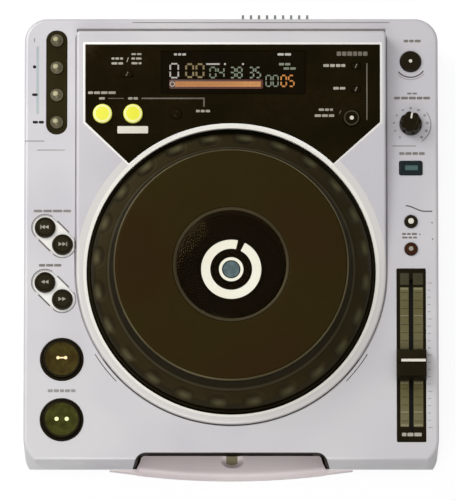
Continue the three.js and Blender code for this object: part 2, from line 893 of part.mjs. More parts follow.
// Cue and play: a black ring in the deck, and a dished button inside it
for (const [name, y] of Object.entries(transport_places)) {
  const inner = transport_radius - transport_ring;
  const ring = revolve([
    [inner, deck_underside], [transport_radius, deck_underside],
    [transport_radius, deck_z + transport_ring_proud / 2],
    [transport_radius - transport_ring / 2, deck_z + transport_ring_proud],
    [inner, deck_z + transport_ring_proud],
  ], button_steps);
  const button = round_button(inner - gap, deck_z + transport_proud, cap_low, stem_low, -transport_dish);
  place(player, `${name}_ring`, ring, black_gloss).position.set(transport_x, y, 0);
  place(player, `${name}_button`, button, olive_plastic).position.set(transport_x, y, 0);
}

// Right column
const right_buttons = {
  eject_button: [eject_radius, eject_proud, eject_y, button_steps],
  tempo_range_button: [tempo_button_radius, tempo_button_proud, range_y, point_steps],
  master_tempo_button: [tempo_button_radius, tempo_button_proud, master_y, point_steps],
};
for (const [name, [radius, proud, y, steps]] of Object.entries(right_buttons)) {
  const button = round_button(radius, deck_z + proud, cap_low, stem_low, button_edge, steps);
  place(player, name, button, black_gloss).position.set(right_x, y, 0);
}

// a rectangular key on a stem, standing proud of the face at height zero
function square_key(width, depth, corner, proud, low, stem_end) {
  return join(
    prism(rounded(0, 0, width, depth, corner), low, proud),
    rod(Math.min(stem_radius, depth / 2 - gap), stem_end, low + gap, 0, 0, small_steps),
  );
}
place(player, 'jog_mode_button',
  square_key(mode_width, mode_depth, mode_corner, mode_proud, cap_low - deck_z, stem_low - deck_z), teal_plastic)
  .position.set(right_x, mode_y, deck_z);

// The knob is fluted and turns the shaft of its potentiometer
const pot_height = 6;
const pot_size = 12;
const knob_lift = 0.8;

function jog_adjust_knob() {
  const low = deck_z + knob_lift;
  const cap = revolve([
    [0, low], [knob_radius, low], [knob_radius, low + knob_height / 3],
    [knob_radius - knob_lift, low + knob_height - knob_lift], [knob_radius - 2 * knob_lift, low + knob_height],
    [0, low + knob_height],
  ], middle_steps);
  const flutes = [];
  for (let i = 0; i < knob_flute_count; i += 1) {
    const angle = (i + 0.5) * 2 * Math.PI / knob_flute_count;
    const reach = knob_radius + knob_flute_radius / 2;
    flutes.push(rod(knob_flute_radius, low + knob_height / 4, low + knob_height + overrun,
      reach * Math.cos(angle), reach * Math.sin(angle)));
  }
  return join(cut(cap, ...flutes), rod(knob_shaft_radius, board_top + pot_height + gap, low + gap));
}
place(player, 'jog_adjust_knob', jog_adjust_knob(), black_matte)
  .position.set(right_x, knob_y, 0);

// Tempo fader: the plate, and the cap on its stem
function fader_plate() {
  const [high, low] = [deck_z - fader_sunk, deck_z - fader_sunk - fader_thickness];
  return cut(
    block_at(right_x, fader_y, fader_width, fader_length, low, high),
    block_at(right_x, fader_y, fader_slot_width, fader_slot_length, low - overrun, high + overrun),
  );
}
place(player, 'fader_plate', fader_plate(), black_matte);

function fader_cap() {
  const [half, top] = [fader_cap_length / 2, fader_cap_height];
  const waist = fader_cap_waist;
  const side = outline([
    [-half, 0], [half, 0], [half - waist / 2, top - waist], [half - waist, top],
    [waist, top - waist], [0, top - waist], [-waist, top - waist], [-half + waist, top],
    [-half + waist / 2, top - waist],
  ]);
  const cap = prism_x(side, -fader_cap_width / 2, fader_cap_width / 2);
  const stem = block_at(0, 0, fader_stem_width, fader_stem_length, -fader_stem_depth, gap);
  return join(cap, stem);
}
place(player, 'fader_cap', fader_cap(), black_matte)
  .position.set(right_x, fader_y - fader_cap_offset, deck_z + gap);

// Switch board: one U-shaped board with its switches, the slide potentiometer and the knob's
// potentiometer soldered on
function switch_board() {
  const side = half_width - board_inset;
  const [front, rear] = [front_y + board_front_inset, rear_y - board_rear_inset];
  const whole = rounded(0, (front + rear) / 2, 2 * side, rear - front, board_corner_radius);
  const through = [board_top - board_thickness - overrun, board_top + overrun];
  const middle = block([-side + board_arm, side - board_arm], [front - overrun, rear - board_bridge], through);
  const relief = recess_half_width + wall + gap;
  const behind = block([-relief, relief], [panel_inner_y - gap, rear + overrun], through);
  const board = cut(prism(whole, board_top - board_thickness, board_top), middle, behind);
  const sunk = board_top - board_thickness / 2;
  const switches = [
    ...point_places,
    ...pair_rows.flatMap((y) => [[pair_x, y], [pair_x + pair_shift, y - pair_shift]]),
    ...Object.values(transport_places).map((y) => [transport_x, y]),
    [right_x, eject_y],
    [right_x, mode_y],
    [right_x, range_y],
    [right_x, master_y],
  ].map(([x, y]) => block_at(x, y, switch_size, switch_size, sunk, switch_top));
  const fader = cut(
    block_at(right_x, fader_y, fader_body_width, fader_body_length, sunk,
      deck_z - fader_sunk - fader_thickness - gap),
    block_at(right_x, fader_y, fader_body_slot, fader_slot_length,
      board_top + board_thickness, deck_z),
  );
  const pot = block_at(right_x, knob_y, pot_size, pot_size, sunk, board_top + pot_height);
  return join(board, ...switches, fader, pot);
}
place(player, 'switch_board', switch_board(), board_green);

// Display panel and its keys, in the slope's frame
place(panel_group, 'display_panel',
  cut(prism(panel_outline(0), -panel_thickness + gap, 0, wheel_steps),
    ...panel_openings(gap, -panel_thickness - overrun, overrun)), black_gloss);
place(panel_group, 'display_glass',
  prism(rounded(glass_across, glass_back, glass_width, glass_depth, button_edge),
    -platform_wall, -gap / 2), dark_glass);
const panel_keys = {
  loop_in_button: [loop_radius, loop_proud, key_places.loop_in, yellow_plastic, button_steps],
  loop_out_button: [loop_radius, loop_proud, key_places.loop_out, yellow_plastic, button_steps],
  reloop_button: [reloop_radius, small_proud, key_places.reloop, black_matte, point_steps],
  return_button: [return_radius, small_proud, key_places.return, black_matte, point_steps],
};
for (const [name, [radius, proud, [x, y], material, steps]] of Object.entries(panel_keys)) {
  const button = round_button(radius, proud, -platform_wall - button_skirt, -key_depth_below, button_edge, steps);
  place(panel_group, name, button, material).position.set(x, y, 0);
}
const panel_square_keys = {
  time_mode_button: [time_width, key_places.time],
  memory_button: [memory_width, key_places.memory],
  call_button: [memory_width, key_places.call],
};
for (const [name, [width, [x, y]]] of Object.entries(panel_square_keys)) {
  const key = square_key(width, small_key_depth, small_key_depth / 3, small_proud,
    -platform_wall - button_skirt, -key_depth_below);
  place(panel_group, name, key, black_matte).position.set(x, y, 0);
}

// Jog wheel: a well, a ring with finger dimples, a touch plate on it, and a fixed display
// on a hollow post that shows through the window in the plate
const ring_skirt = 9.5;
const ring_edge = 3.5;
const ring_band_rise = 9;
const ring_plate_rise = 25.2;
const ring_web = 3;
const web_clearance = 5;
const hub_radius = 24;
const hub_bore_radius = 20;
const hub_height = 9;
const dimple_band = 18.1;
const plate_thickness = 2.5;
const plate_bevel = 1;
const window_share = 0.493;
const window_thickness = 1.2;
const window_ledge = 1.8;
const collar_tube_drop = 12;
const display_rise = 8;
const display_thickness = 2;
const display_margin = 4;
const post_radius = 14;
const post_bore_radius = 10;
const post_flange_radius = 40;
const well_hole_radius = 30;
const dimple_radial = 6;
const dimple_tangential = 8.5;
const dimple_vertical = 5;
const dimple_depth = 2.6;
const ring_radius = well_radius - well_wall - ring_clearance;
const plate_radius = ring_radius - dimple_band;
const window_radius = window_share * plate_radius;
const display_radius = window_radius - display_margin;
const ring_top_z = collar_z + ring_plate_rise;
const band_z = collar_z + ring_band_rise;
const web_low = well_floor_z + web_clearance;

function jog_well() {
  const top = collar_z - gap;
  const under = well_floor_z - well_floor;
  const inner = well_radius - well_wall;
  const flange_top = deck_underside - gap;
  return revolve([
    [well_hole_radius, under], [well_radius, under], [well_radius, flange_top - well_wall],
    [well_radius + well_flange, flange_top - well_wall], [well_radius + well_flange, flange_top],
    [well_radius, flange_top], [well_radius, top], [inner, top], [inner, well_floor_z],
    [well_hole_radius, well_floor_z],
  ], wheel_steps);
}
place(jog_group, 'jog_well', jog_well(), black_matte);

function jog_ring() {
  const skirt_low = collar_z + ring_edge - ring_skirt;
  const thick = ring_web;
  const neck = plate_radius + plate_bevel;
  const body = revolve([
    [hub_bore_radius, web_low], [ring_radius - thick, web_low],
    [ring_radius - thick, skirt_low], [ring_radius, skirt_low], [ring_radius, collar_z + ring_edge],
    [ring_radius - ring_edge, band_z - ring_edge / 3], [neck + ring_edge / 2, band_z + ring_edge / 3],
    [neck, band_z + ring_edge], [neck - plate_bevel / 2, ring_top_z],
    [neck - 2 * thick, ring_top_z], [neck - 2 * thick, web_low + thick],
    [hub_radius, web_low + thick], [hub_radius, web_low + hub_height], [hub_bore_radius, web_low + hub_height],
  ], wheel_steps);
  const dimples = [];
  const reach = ring_radius - ring_edge;
  for (let i = 0; i < dimple_count; i += 1) {
    const dimple = new THREE.SphereGeometry(1, point_steps, point_steps / 3).rotateX(Math.PI / 2)
      .scale(dimple_radial, dimple_tangential, dimple_vertical)
      .translate(reach, 0, band_z - ring_edge / 3 + dimple_vertical - dimple_depth)
      .rotateZ(i * 2 * Math.PI / dimple_count);
    dimples.push(dimple);
  }
  return cut(body, ...dimples);
}
place(jog_group, 'jog_ring', jog_ring(), jog_plastic);

function jog_plate() {
  const low = ring_top_z + gap;
  const top = low + plate_thickness;
  const ledge = window_radius - window_ledge;
  const ledge_z = top - window_thickness - 2 * gap;
  return revolve([
    [ledge, low - collar_tube_drop], [window_radius, low - collar_tube_drop], [window_radius, low],
    [plate_radius, low], [plate_radius, top - plate_bevel], [plate_radius - plate_bevel, top],
    [window_radius + plate_bevel, top], [window_radius + gap, top - plate_bevel / 2],
    [window_radius + gap, ledge_z], [ledge, ledge_z],
  ], wheel_steps);
}
place(jog_group, 'jog_plate', jog_plate(), jog_plastic);

const plate_top_z = ring_top_z + gap + plate_thickness;
place(jog_group, 'jog_window',
  rod(window_radius, plate_top_z - gap - window_thickness, plate_top_z - gap, 0, 0, wheel_steps), dark_glass);

const display_z = collar_z + display_rise;
const post_top = display_z - display_thickness - gap;
const display_plinth = 1;
place(jog_group, 'jog_display', revolve([
  [0, display_z - display_thickness], [display_radius, display_z - display_thickness],
  [display_radius, display_z - display_plinth], [display_radius - display_plinth, display_z], [0, display_z],
], middle_steps), dark_glass);

function jog_post() {
  const flange_top = well_floor_z - well_floor - gap;
  return revolve([
    [post_bore_radius, flange_top - well_floor], [post_flange_radius, flange_top - well_floor],
    [post_flange_radius, flange_top], [post_radius, flange_top], [post_radius, post_top],
    [post_bore_radius, post_top],
  ], button_steps);
}
place(jog_group, 'jog_post', jog_post(), steel);

const bearing_height = 7;
place(jog_group, 'jog_bearing',
  tube(hub_bore_radius - gap, post_radius + gap, web_low + gap, web_low + gap + bearing_height, button_steps),
  steel);

// The encoder disc hangs under the web of the ring and has a slot for each reading
const encoder_inset = 33.3;
const encoder_width = 12;
const encoder_thickness = 1.5;
const encoder_slot_count = 16;
const encoder_slot_width = 7;
const encoder_slot_length = 6;
const encoder_radius = ring_radius - encoder_inset;
const encoder_inner_radius = encoder_radius - encoder_width;

function encoder_disc() {
  const top = web_low - gap;
  const disc = tube(encoder_radius, encoder_inner_radius, top - encoder_thickness, top, 2 * encoder_slot_count);
  const slots = [];
  for (let i = 0; i < encoder_slot_count; i += 1) {
    slots.push(block([encoder_radius - encoder_slot_length, encoder_radius + overrun],
      [-encoder_slot_width / 2, encoder_slot_width / 2],
      [top - encoder_thickness - overrun, top + overrun]).rotateZ((i + 0.5) * 2 * Math.PI / encoder_slot_count));
  }
  return cut(disc, ...slots);
}
place(jog_group, 'encoder_disc', encoder_disc(), black_matte);

// Disc mechanism: a chassis on legs with the loading roller at the front, the turntable under the
// middle of a loaded disc, the pickup sled on two rods behind it, and a clamp on an arm above
const chassis_half_width = 72;
const chassis_sheet = 2;
const chassis_front = 8;
const chassis_floor_z = 16;
const chassis_length = 156;
const chassis_wall_length = 132;
const chassis_wall_height = 42;
const chassis_leg_radius = 4;
const disc_radius = 60;
const disc_margin = 4;
const roller_radius = 5;
const roller_from_front = 9;
const roller_half_length = 62;
const pin_radius = 1.5;
const pin_clearance = 0.3;
const disc_thickness = 1.2;
const turntable_radius = 13;
const turntable_z = 42;
const turntable_thickness = 3.5;
const turntable_hub_radius = 7.3;
const turntable_hub_height = 3.5;
const motor_radius = 12;
const motor_height = 20;
const rod_spacing = 44;
const rod_z = 32;
const rod_block = 4;
const rod_block_height = 18;
const rod_length = 72;
const sled_length = 18;
const sled_low = 26;
const sled_height = 12;
const sled_overhang = 5;
const lens_radius = 4;
const lens_height = 5;
const inner_track = 25;
const bridge_from_spindle = 66;
const bridge_depth = 5;
const bridge_height = 10;
const ear_thickness = 2.5;
const ear_height = 7;
const arm_half_width = 12;
const arm_thickness = 2;
const arm_front_reach = 12;
const arm_z = 58;
const clamp_radius = 13;
const clamp_thickness = 4;
const clamp_stem_radius = 3;
const clamp_cap_radius = 5;
const clamp_cap = 1.2;
const chassis_front_y = notch_y + wall + gap + seal_thickness + gap;
const chassis_rear_y = chassis_front_y + chassis_front / 4 + chassis_length;
const spindle_y = notch_y + disc_radius + disc_margin;
const roller_y = chassis_front_y + roller_from_front;
const roller_z = disc_z - disc_thickness / 2 - gap - roller_radius;
const chassis_top = chassis_floor_z + chassis_wall_height;
const rods_front = spindle_y + motor_radius + 2 * gap;
const bridge_y = spindle_y + bridge_from_spindle;
const hinge_z = arm_z + arm_thickness / 2;

function mech_chassis() {
  const floor_top = chassis_floor_z + chassis_sheet;
  const front = chassis_front_y + chassis_front / 4;
  const half = chassis_half_width;
  const floor = block([-half, half], [front, front + chassis_length], [chassis_floor_z, floor_top]);
  const parts = [];
  for (const side of [-1, 1]) {
    const [near, far] = side < 0 ? [-half, -half + chassis_sheet] : [half - chassis_sheet, half];
    parts.push(block([near, far], [front, front + chassis_wall_length], [chassis_floor_z, chassis_top]));
    for (const y of [front + chassis_front, front + chassis_length - chassis_front]) {
      parts.push(rod(chassis_leg_radius, pan_top + gap, floor_top, side * (half - chassis_front), y));
    }
    parts.push(rod_y(pin_radius, rods_front, rods_front + rod_length, side * rod_spacing / 2, rod_z));
    const ear_x = side * (arm_half_width + gap + ear_thickness / 2);
    parts.push(block_at(ear_x, bridge_y, ear_thickness, bridge_depth, chassis_top - bridge_height,
      chassis_top - bridge_height + bridge_height / 2 + ear_height));
  }
  for (const y of [rods_front, rods_front + rod_length]) {
    parts.push(block([-rod_spacing / 2 - rod_block, rod_spacing / 2 + rod_block],
      [y, y + rod_block / 2], [chassis_floor_z, chassis_floor_z + rod_block_height]));
  }
  parts.push(block([-half, half], [bridge_y - bridge_depth / 2, bridge_y + bridge_depth / 2],
    [chassis_top - bridge_height - bridge_height / 2, chassis_top - bridge_height / 2 - 2 * pin_radius]));
  const shaft_hole = rod_x(pin_radius + pin_clearance, -half - overrun, half + overrun, roller_y, roller_z);
  const hinge_reach = arm_half_width + 2 * ear_thickness;
  const hinge_hole = rod_x(pin_radius + pin_clearance, -hinge_reach, hinge_reach, bridge_y, hinge_z);
  return cut(join(floor, ...parts), shaft_hole, hinge_hole);
}
place(player, 'mech_chassis', mech_chassis(), steel);

place(player, 'loading_roller', join(
  rod_x(roller_radius, -roller_half_length, roller_half_length, 0, 0, button_steps),
  rod_x(pin_radius, -chassis_half_width, chassis_half_width, 0, 0),
), rubber).position.set(0, roller_y, roller_z);

const motor_shaft_radius = 1.5;
place(player, 'spindle_motor', join(
  rod(motor_radius, chassis_floor_z + chassis_sheet + gap, chassis_floor_z + chassis_sheet + motor_height, 0, 0,
    button_steps),
  rod(motor_shaft_radius, chassis_floor_z + motor_height, turntable_z - gap),
), steel).position.set(0, spindle_y, 0);

place(player, 'turntable', revolve([
  [0, 0], [turntable_radius, 0], [turntable_radius, turntable_thickness],
  [turntable_hub_radius, turntable_thickness],
  [turntable_hub_radius - button_edge, turntable_thickness + turntable_hub_height],
  [0, turntable_thickness + turntable_hub_height],
], button_steps), black_matte).position.set(0, spindle_y, turntable_z);

function pickup_sled() {
  const half = rod_spacing / 2 + sled_overhang;
  const front = rods_front + rod_block / 2 + gap;
  const lens_y = spindle_y + inner_track;
  const body = join(
    block([-half, half], [front, front + sled_length], [sled_low, sled_low + sled_height]),
    rod(lens_radius, sled_low + sled_height / 2, sled_low + sled_height + lens_height, 0, lens_y),
  );
  const holes = [-1, 1].map((side) => rod_y(pin_radius + pin_clearance, front - overrun,
    front + sled_length + overrun, side * rod_spacing / 2, rod_z));
  return cut(body, ...holes);
}
place(player, 'pickup_sled', pickup_sled(), black_matte);

function clamp_arm() {
  const front = spindle_y - arm_front_reach;
  const plate = block([-arm_half_width, arm_half_width], [front, bridge_y + bridge_depth / 2],
    [arm_z, arm_z + arm_thickness]);
  const reach = arm_half_width + gap + ear_thickness;
  const hole = rod(clamp_stem_radius + gap, arm_z - overrun, arm_z + arm_thickness + overrun, 0, spindle_y);
  return cut(join(plate, rod_x(pin_radius, -reach, reach, bridge_y, hinge_z)), hole);
}
place(player, 'clamp_arm', clamp_arm(), steel);

place(player, 'disc_clamp', revolve([
  [0, arm_z - gap - clamp_thickness], [clamp_radius, arm_z - gap - clamp_thickness], [clamp_radius, arm_z - gap],
  [clamp_stem_radius, arm_z - gap], [clamp_stem_radius, arm_z + arm_thickness + gap],
  [clamp_cap_radius, arm_z + arm_thickness + gap], [clamp_cap_radius, arm_z + arm_thickness + gap + clamp_cap],
  [0, arm_z + arm_thickness + gap + clamp_cap],
], button_steps), black_matte).position.set(0, spindle_y, 0);

// Circuit boards on standoffs, behind the mechanism
const standoff_radius = 3;
const standoff_height = 5;
const boards_front_clearance = 12;
const boards_rear_clearance = 6;
const main_board_side = 24;
const main_board_share = 0.59;
const power_board_side = 12;
const power_board_share = 0.2426;
const board_y_high = panel_inner_y - boards_rear_clearance;
const board_y_low = chassis_rear_y + boards_front_clearance;
const main_board_left = -half_width + main_board_side;
const power_board_right = half_width - power_board_side;
const main_board_x = [main_board_left, main_board_left + main_board_share * case_width];
const power_board_x = [power_board_right - power_board_share * case_width, power_board_right];
const board_edge_inset = 6;
const chip_height = 3;
const transformer_height = 34;
const transformer_share = 0.62;
const capacitor_radius = 9;
const capacitor_height = 26;

function circuit_board([left, right], extras) {
  const low = pan_top + gap + standoff_height;
  const [front, rear] = [board_y_low, board_y_high];
  const board = block([left, right], [front, rear], [low, low + board_thickness]);
  const legs = [];
  for (const x of [left + board_edge_inset, right - board_edge_inset]) {
    for (const y of [front + board_edge_inset, rear - board_edge_inset]) {
      legs.push(rod(standoff_radius, pan_top + gap, low + board_thickness / 2, x, y));
    }
  }
  return join(board, ...legs, ...extras(low + board_thickness / 2));
}
const chip_shares = [[0.3, 0.35, 0.16], [0.62, 0.3, 0.12], [0.45, 0.72, 0.1], [0.8, 0.7, 0.14]];
place(player, 'main_board', circuit_board(main_board_x, (z) => {
  const [left, right] = main_board_x;
  const depth = board_y_high - board_y_low;
  return chip_shares.map(([across, back, size]) => block_at(left + across * (right - left),
    board_y_low + back * depth, size * depth, size * depth, z, z + chip_height));
}), board_green);
place(player, 'power_board', circuit_board(power_board_x, (z) => {
  const [left, right] = power_board_x;
  const middle = (left + right) / 2;
  const width = transformer_share * (right - left);
  const depth = board_y_high - board_y_low;
  return [
    block_at(middle, board_y_low + depth * (1 - transformer_share), width, width, z, z + transformer_height),
    rod(capacitor_radius, z, z + capacitor_height, middle, board_y_high - width / 2, small_steps),
  ];
}), board_green);

export default player;
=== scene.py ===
# %% [markdown]
# # A tabletop disc player with a jog wheel
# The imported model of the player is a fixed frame: its solids say where everything is. This lesson
# dresses that frame. Each cell makes one piece or one finish, and says how and why.

# %% Load the frame
import json
import math

import bpy
import numpy as np
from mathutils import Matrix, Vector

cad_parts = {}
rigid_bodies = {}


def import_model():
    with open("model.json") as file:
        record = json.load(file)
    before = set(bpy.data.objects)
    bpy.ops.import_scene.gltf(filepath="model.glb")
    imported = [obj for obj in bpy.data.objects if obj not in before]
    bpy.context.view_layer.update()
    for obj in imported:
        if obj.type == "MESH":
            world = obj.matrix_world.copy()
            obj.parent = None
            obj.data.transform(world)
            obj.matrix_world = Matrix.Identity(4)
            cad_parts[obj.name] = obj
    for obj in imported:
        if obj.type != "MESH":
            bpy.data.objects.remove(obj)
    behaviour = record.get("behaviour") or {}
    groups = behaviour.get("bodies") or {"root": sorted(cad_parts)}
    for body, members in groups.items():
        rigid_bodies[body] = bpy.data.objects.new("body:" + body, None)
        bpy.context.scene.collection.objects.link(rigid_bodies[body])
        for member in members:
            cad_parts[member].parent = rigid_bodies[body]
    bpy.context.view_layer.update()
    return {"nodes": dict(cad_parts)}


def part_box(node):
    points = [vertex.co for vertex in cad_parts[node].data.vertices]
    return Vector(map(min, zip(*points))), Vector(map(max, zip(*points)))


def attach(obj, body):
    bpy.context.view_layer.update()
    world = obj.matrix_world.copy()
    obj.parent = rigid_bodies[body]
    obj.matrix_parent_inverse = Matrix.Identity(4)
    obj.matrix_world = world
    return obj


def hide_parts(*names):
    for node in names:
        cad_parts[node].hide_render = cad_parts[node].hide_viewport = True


for left_over in list(bpy.data.objects):
    bpy.data.objects.remove(left_over)
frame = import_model()
print("solids in the frame:", len(frame["nodes"]))

# %% [markdown]
# Lengths on the player are easiest to think of in millimetres, while Blender wants metres, so every
# helper takes millimetres and turns them into metres at the very end. Colours are given as they look
# on a screen, 0 to 255, and are turned into the linear values that the shaders add up.
#
# Three levels carry the top: beds sunk a little below the deck, the deck, and the collar round the
# wheel. Behind the wheel's middle the platform rises from the collar, with the panel on it.

# %% Units, colours and the player's own heights
MM = 0.001
SUNK, COLLAR_RISE = 0.8, 3.0
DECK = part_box("cue_inlay")[1][2] / MM + SUNK
BED = DECK - SUNK
COLLAR = DECK + COLLAR_RISE
JOG_Y = (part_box("jog_plate")[0][1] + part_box("jog_plate")[1][1]) / 2 / MM
PLATFORM_RISE, PLATFORM_LONG = 14.0, 178.6
SLOPE = math.asin(PLATFORM_RISE / PLATFORM_LONG)


def tone(red, green, blue):
    """A screen colour as linear red, green, blue and alpha: ((c + 0.055) / 1.055)^2.4, or c / 12.92
    where it is very dark."""
    c = np.array([red, green, blue]) / 255.0
    linear = np.where(c <= 0.04045, c / 12.92, ((c + 0.055) / 1.055) ** 2.4)
    return (*linear.tolist(), 1.0)


print("deck at", round(DECK, 2), "mm, jog centre at", round(JOG_Y, 2), "mm")

# %% [markdown]
# A moulded or painted surface is never one flat colour. The finish used nearly everywhere here mixes
# three close tones: a fine noise is the grain or the metal flake, and a broad noise is the slow drift
# of colour over the moulding. The same fine noise moves the roughness and a very shallow bump, so
# that colour, gloss and relief belong to the same grain. Object coordinates keep it fixed in space.


# %% Finishes
def wire(tree, source, target):
    tree.links.new(source, target)


def ranged(tree, source, start=0.0, end=1.0, low=0.0, high=1.0):
    """Goes from low to high while the source goes from start to end, and stays at either."""
    step = tree.nodes.new("ShaderNodeMapRange")
    for socket, number in [("From Min", start), ("From Max", end), ("To Min", low), ("To Max", high)]:
        step.inputs[socket].default_value = number
    wire(tree, source, step.inputs["Value"])
    return step.outputs["Result"]


def mixed(tree, under, over, share):
    """The colour under + share * (over - under); each colour is a socket or four plain numbers."""
    mixer = tree.nodes.new("ShaderNodeMix")
    mixer.data_type = "RGBA"
    for socket, colour in [("A", under), ("B", over)]:
        if isinstance(colour, tuple):
            mixer.inputs[socket].default_value = colour
        else:
            wire(tree, colour, mixer.inputs[socket])
    wire(tree, share, mixer.inputs["Factor"])
    return mixer.outputs["Result"]


FINE_DETAIL, BROAD_DETAIL = 3.0, 2.0
CONTRAST = (0.35, 0.65)
SMOOTHEST, COAT_ROUGH = 0.02, 0.08


def noise_at(tree, place, size, detail):
    noise = tree.nodes.new("ShaderNodeTexNoise")
    noise.inputs["Scale"].default_value = 1.0 / size
    noise.inputs["Detail"].default_value = detail
    wire(tree, place.outputs["Object"], noise.inputs["Vector"])
    return noise.outputs["Fac"]


def finish_of(name, tones, rough, grain=0.0006, drift=0.04, bump=0.08, metal=0.0, gloss=0.5,
              coat=0.0, glow=0.0, spread=0.06, alpha=1.0, sheen_tone=(255, 255, 255)):
    """Two noises on Object coordinates: tone = mix(mix(t0, t1, fine), t2, broad) and
    roughness = rough + spread * (2 * fine - 1). Grain and drift are their sizes in metres."""
    made = bpy.data.materials.new(name)
    made.use_nodes = True
    tree = made.node_tree
    shader = tree.nodes["Principled BSDF"]
    place = tree.nodes.new("ShaderNodeTexCoord")
    fine = noise_at(tree, place, grain, FINE_DETAIL)
    broad = noise_at(tree, place, drift, BROAD_DETAIL)
    base, fleck, cloud = (tone(*t) for t in tones)
    colour = mixed(tree, base, fleck, ranged(tree, fine, *CONTRAST))
    colour = mixed(tree, colour, cloud, ranged(tree, broad, *CONTRAST))
    wire(tree, colour, shader.inputs["Base Color"])
    dull = ranged(tree, fine, low=max(rough - spread, SMOOTHEST), high=rough + spread)
    wire(tree, dull, shader.inputs["Roughness"])
    relief = tree.nodes.new("ShaderNodeBump")
    relief.inputs["Strength"].default_value = bump
    relief.inputs["Distance"].default_value = grain / 3
    wire(tree, fine, relief.inputs["Height"])
    wire(tree, relief.outputs["Normal"], shader.inputs["Normal"])
    plain = {"Metallic": metal, "Specular IOR Level": gloss, "Specular Tint": tone(*sheen_tone),
             "Coat Weight": coat, "Coat Roughness": COAT_ROUGH, "Alpha": alpha}
    for socket, value in plain.items():
        shader.inputs[socket].default_value = value
    if glow:
        wire(tree, colour, shader.inputs["Emission Color"])
        shader.inputs["Emission Strength"].default_value = glow
    return made


WARM = (255, 226, 160)
silver = finish_of("case_silver", [(209, 206, 210), (199, 196, 201), (215, 213, 214)], 0.42,
                   grain=0.0005, drift=0.09, bump=0.05, metal=0.2, coat=0.1)
# A pale silver for painted highlights: the frame round the panel and the floors of the capsule recesses.
rim_silver = finish_of("rim_silver", [(246, 244, 237), (240, 237, 229), (250, 248, 242)], 0.4,
                       grain=0.0005, drift=0.06, bump=0.05, metal=0.15, coat=0.1)
# Painted light: paler than the case, so that the lip, in the shade of the deck's edge, still looks bright.
lip_silver = finish_of("lip_silver", [(242, 228, 228), (234, 218, 220), (246, 234, 233)], 0.42,
                       grain=0.0005, drift=0.05, bump=0.05, metal=0.1, coat=0.1)
panel_black = finish_of("panel_black", [(24, 18, 6), (29, 22, 8), (19, 14, 4)], 0.12,
                        grain=0.004, drift=0.03, bump=0.01, gloss=0.05, sheen_tone=WARM)
trim_black = finish_of("trim_black", [(20, 17, 9), (27, 23, 13), (15, 12, 6)], 0.5,
                       gloss=0.08, sheen_tone=WARM)
button_black = finish_of("button_black", [(16, 14, 7), (22, 19, 10), (11, 9, 5)], 0.22,
                         grain=0.003, bump=0.02, gloss=0.15, coat=0.04, sheen_tone=WARM)
knob_black = finish_of("knob_black", [(24, 19, 10), (31, 26, 15), (18, 14, 8)], 0.42,
                       gloss=0.1, sheen_tone=WARM)
rubber_black = finish_of("rubber_black", [(32, 32, 31), (40, 39, 38), (26, 26, 25)], 0.8, gloss=0.3,
                         bump=0.3)
print("finishes so far:", len(bpy.data.materials))

# %% [markdown]
# Every shape below is a pair: an array of points in millimetres, and a list of faces. Two ways of
# making one cover nearly the whole player. *Turning* spins a profile about an upright axis, which
# suits wheels and buttons. *Carrying* moves a closed outline up through steps, each with an inset
# and a height, which suits plates, keys and prints, and rounds an edge where the inset grows.


# %% Shapes
def softened(corners, radii, steps=5):
    """Each corner p becomes the curve (1-t)^2 a + 2t(1-t) p + t^2 b, with a and b at the radius
    along its two sides; a radius of 0 keeps the corner."""
    corners = np.asarray(corners, float)
    radii = np.broadcast_to(radii, len(corners))
    t = np.linspace(0, 1, steps + 1)[:, None]
    path = []
    for i, (p, r) in enumerate(zip(corners, radii)):
        before, after = corners[i - 1], corners[(i + 1) % len(corners)]
        if r == 0:
            path.append(p[None])
            continue
        a = p + (before - p) * min(0.5, r / max(np.linalg.norm(before - p), 1e-9))
        b = p + (after - p) * min(0.5, r / max(np.linalg.norm(after - p), 1e-9))
        path.append((1 - t) ** 2 * a + 2 * t * (1 - t) * p + t ** 2 * b)
    path = np.vstack(path)
    apart = np.linalg.norm(path - np.roll(path, 1, axis=0), axis=1) > 1e-6
    return path[apart]


def turned(profile, steps=96, at=(0.0, 0.0)):
    """Points (r cos a, r sin a, z) for every (r, z). A radius of 0 is one pole; a profile that
    does not start on the axis is closed on itself."""
    angle = np.arange(steps) * 2 * np.pi / steps
    round_trip = profile[0][0] != 0
    points, rows, count = [], [], 0
    for r, z in profile:
        many = steps if r > 0 else 1
        ring = np.zeros((many, 3))
        ring[:, 0] = at[0] + r * np.cos(angle[:many])
        ring[:, 1] = at[1] + r * np.sin(angle[:many])
        ring[:, 2] = z
        if r == 0:
            ring[:, :2] = at
        points.append(ring)
        rows.append(np.arange(count, count + many))
        count += many
    pairs = list(zip(rows, rows[1:])) + ([(rows[-1], rows[0])] if round_trip else [])
    faces = []
    for low, high in pairs:
        here, there = np.resize(low, steps), np.resize(high, steps)
        quad = np.stack([here, np.roll(here, -1), np.roll(there, -1), there], axis=1)
        if len(low) == 1:
            quad = quad[:, [0, 2, 3]]
        elif len(high) == 1:
            quad = quad[:, [0, 1, 2]]
        faces += quad.tolist()
    return np.vstack(points), faces


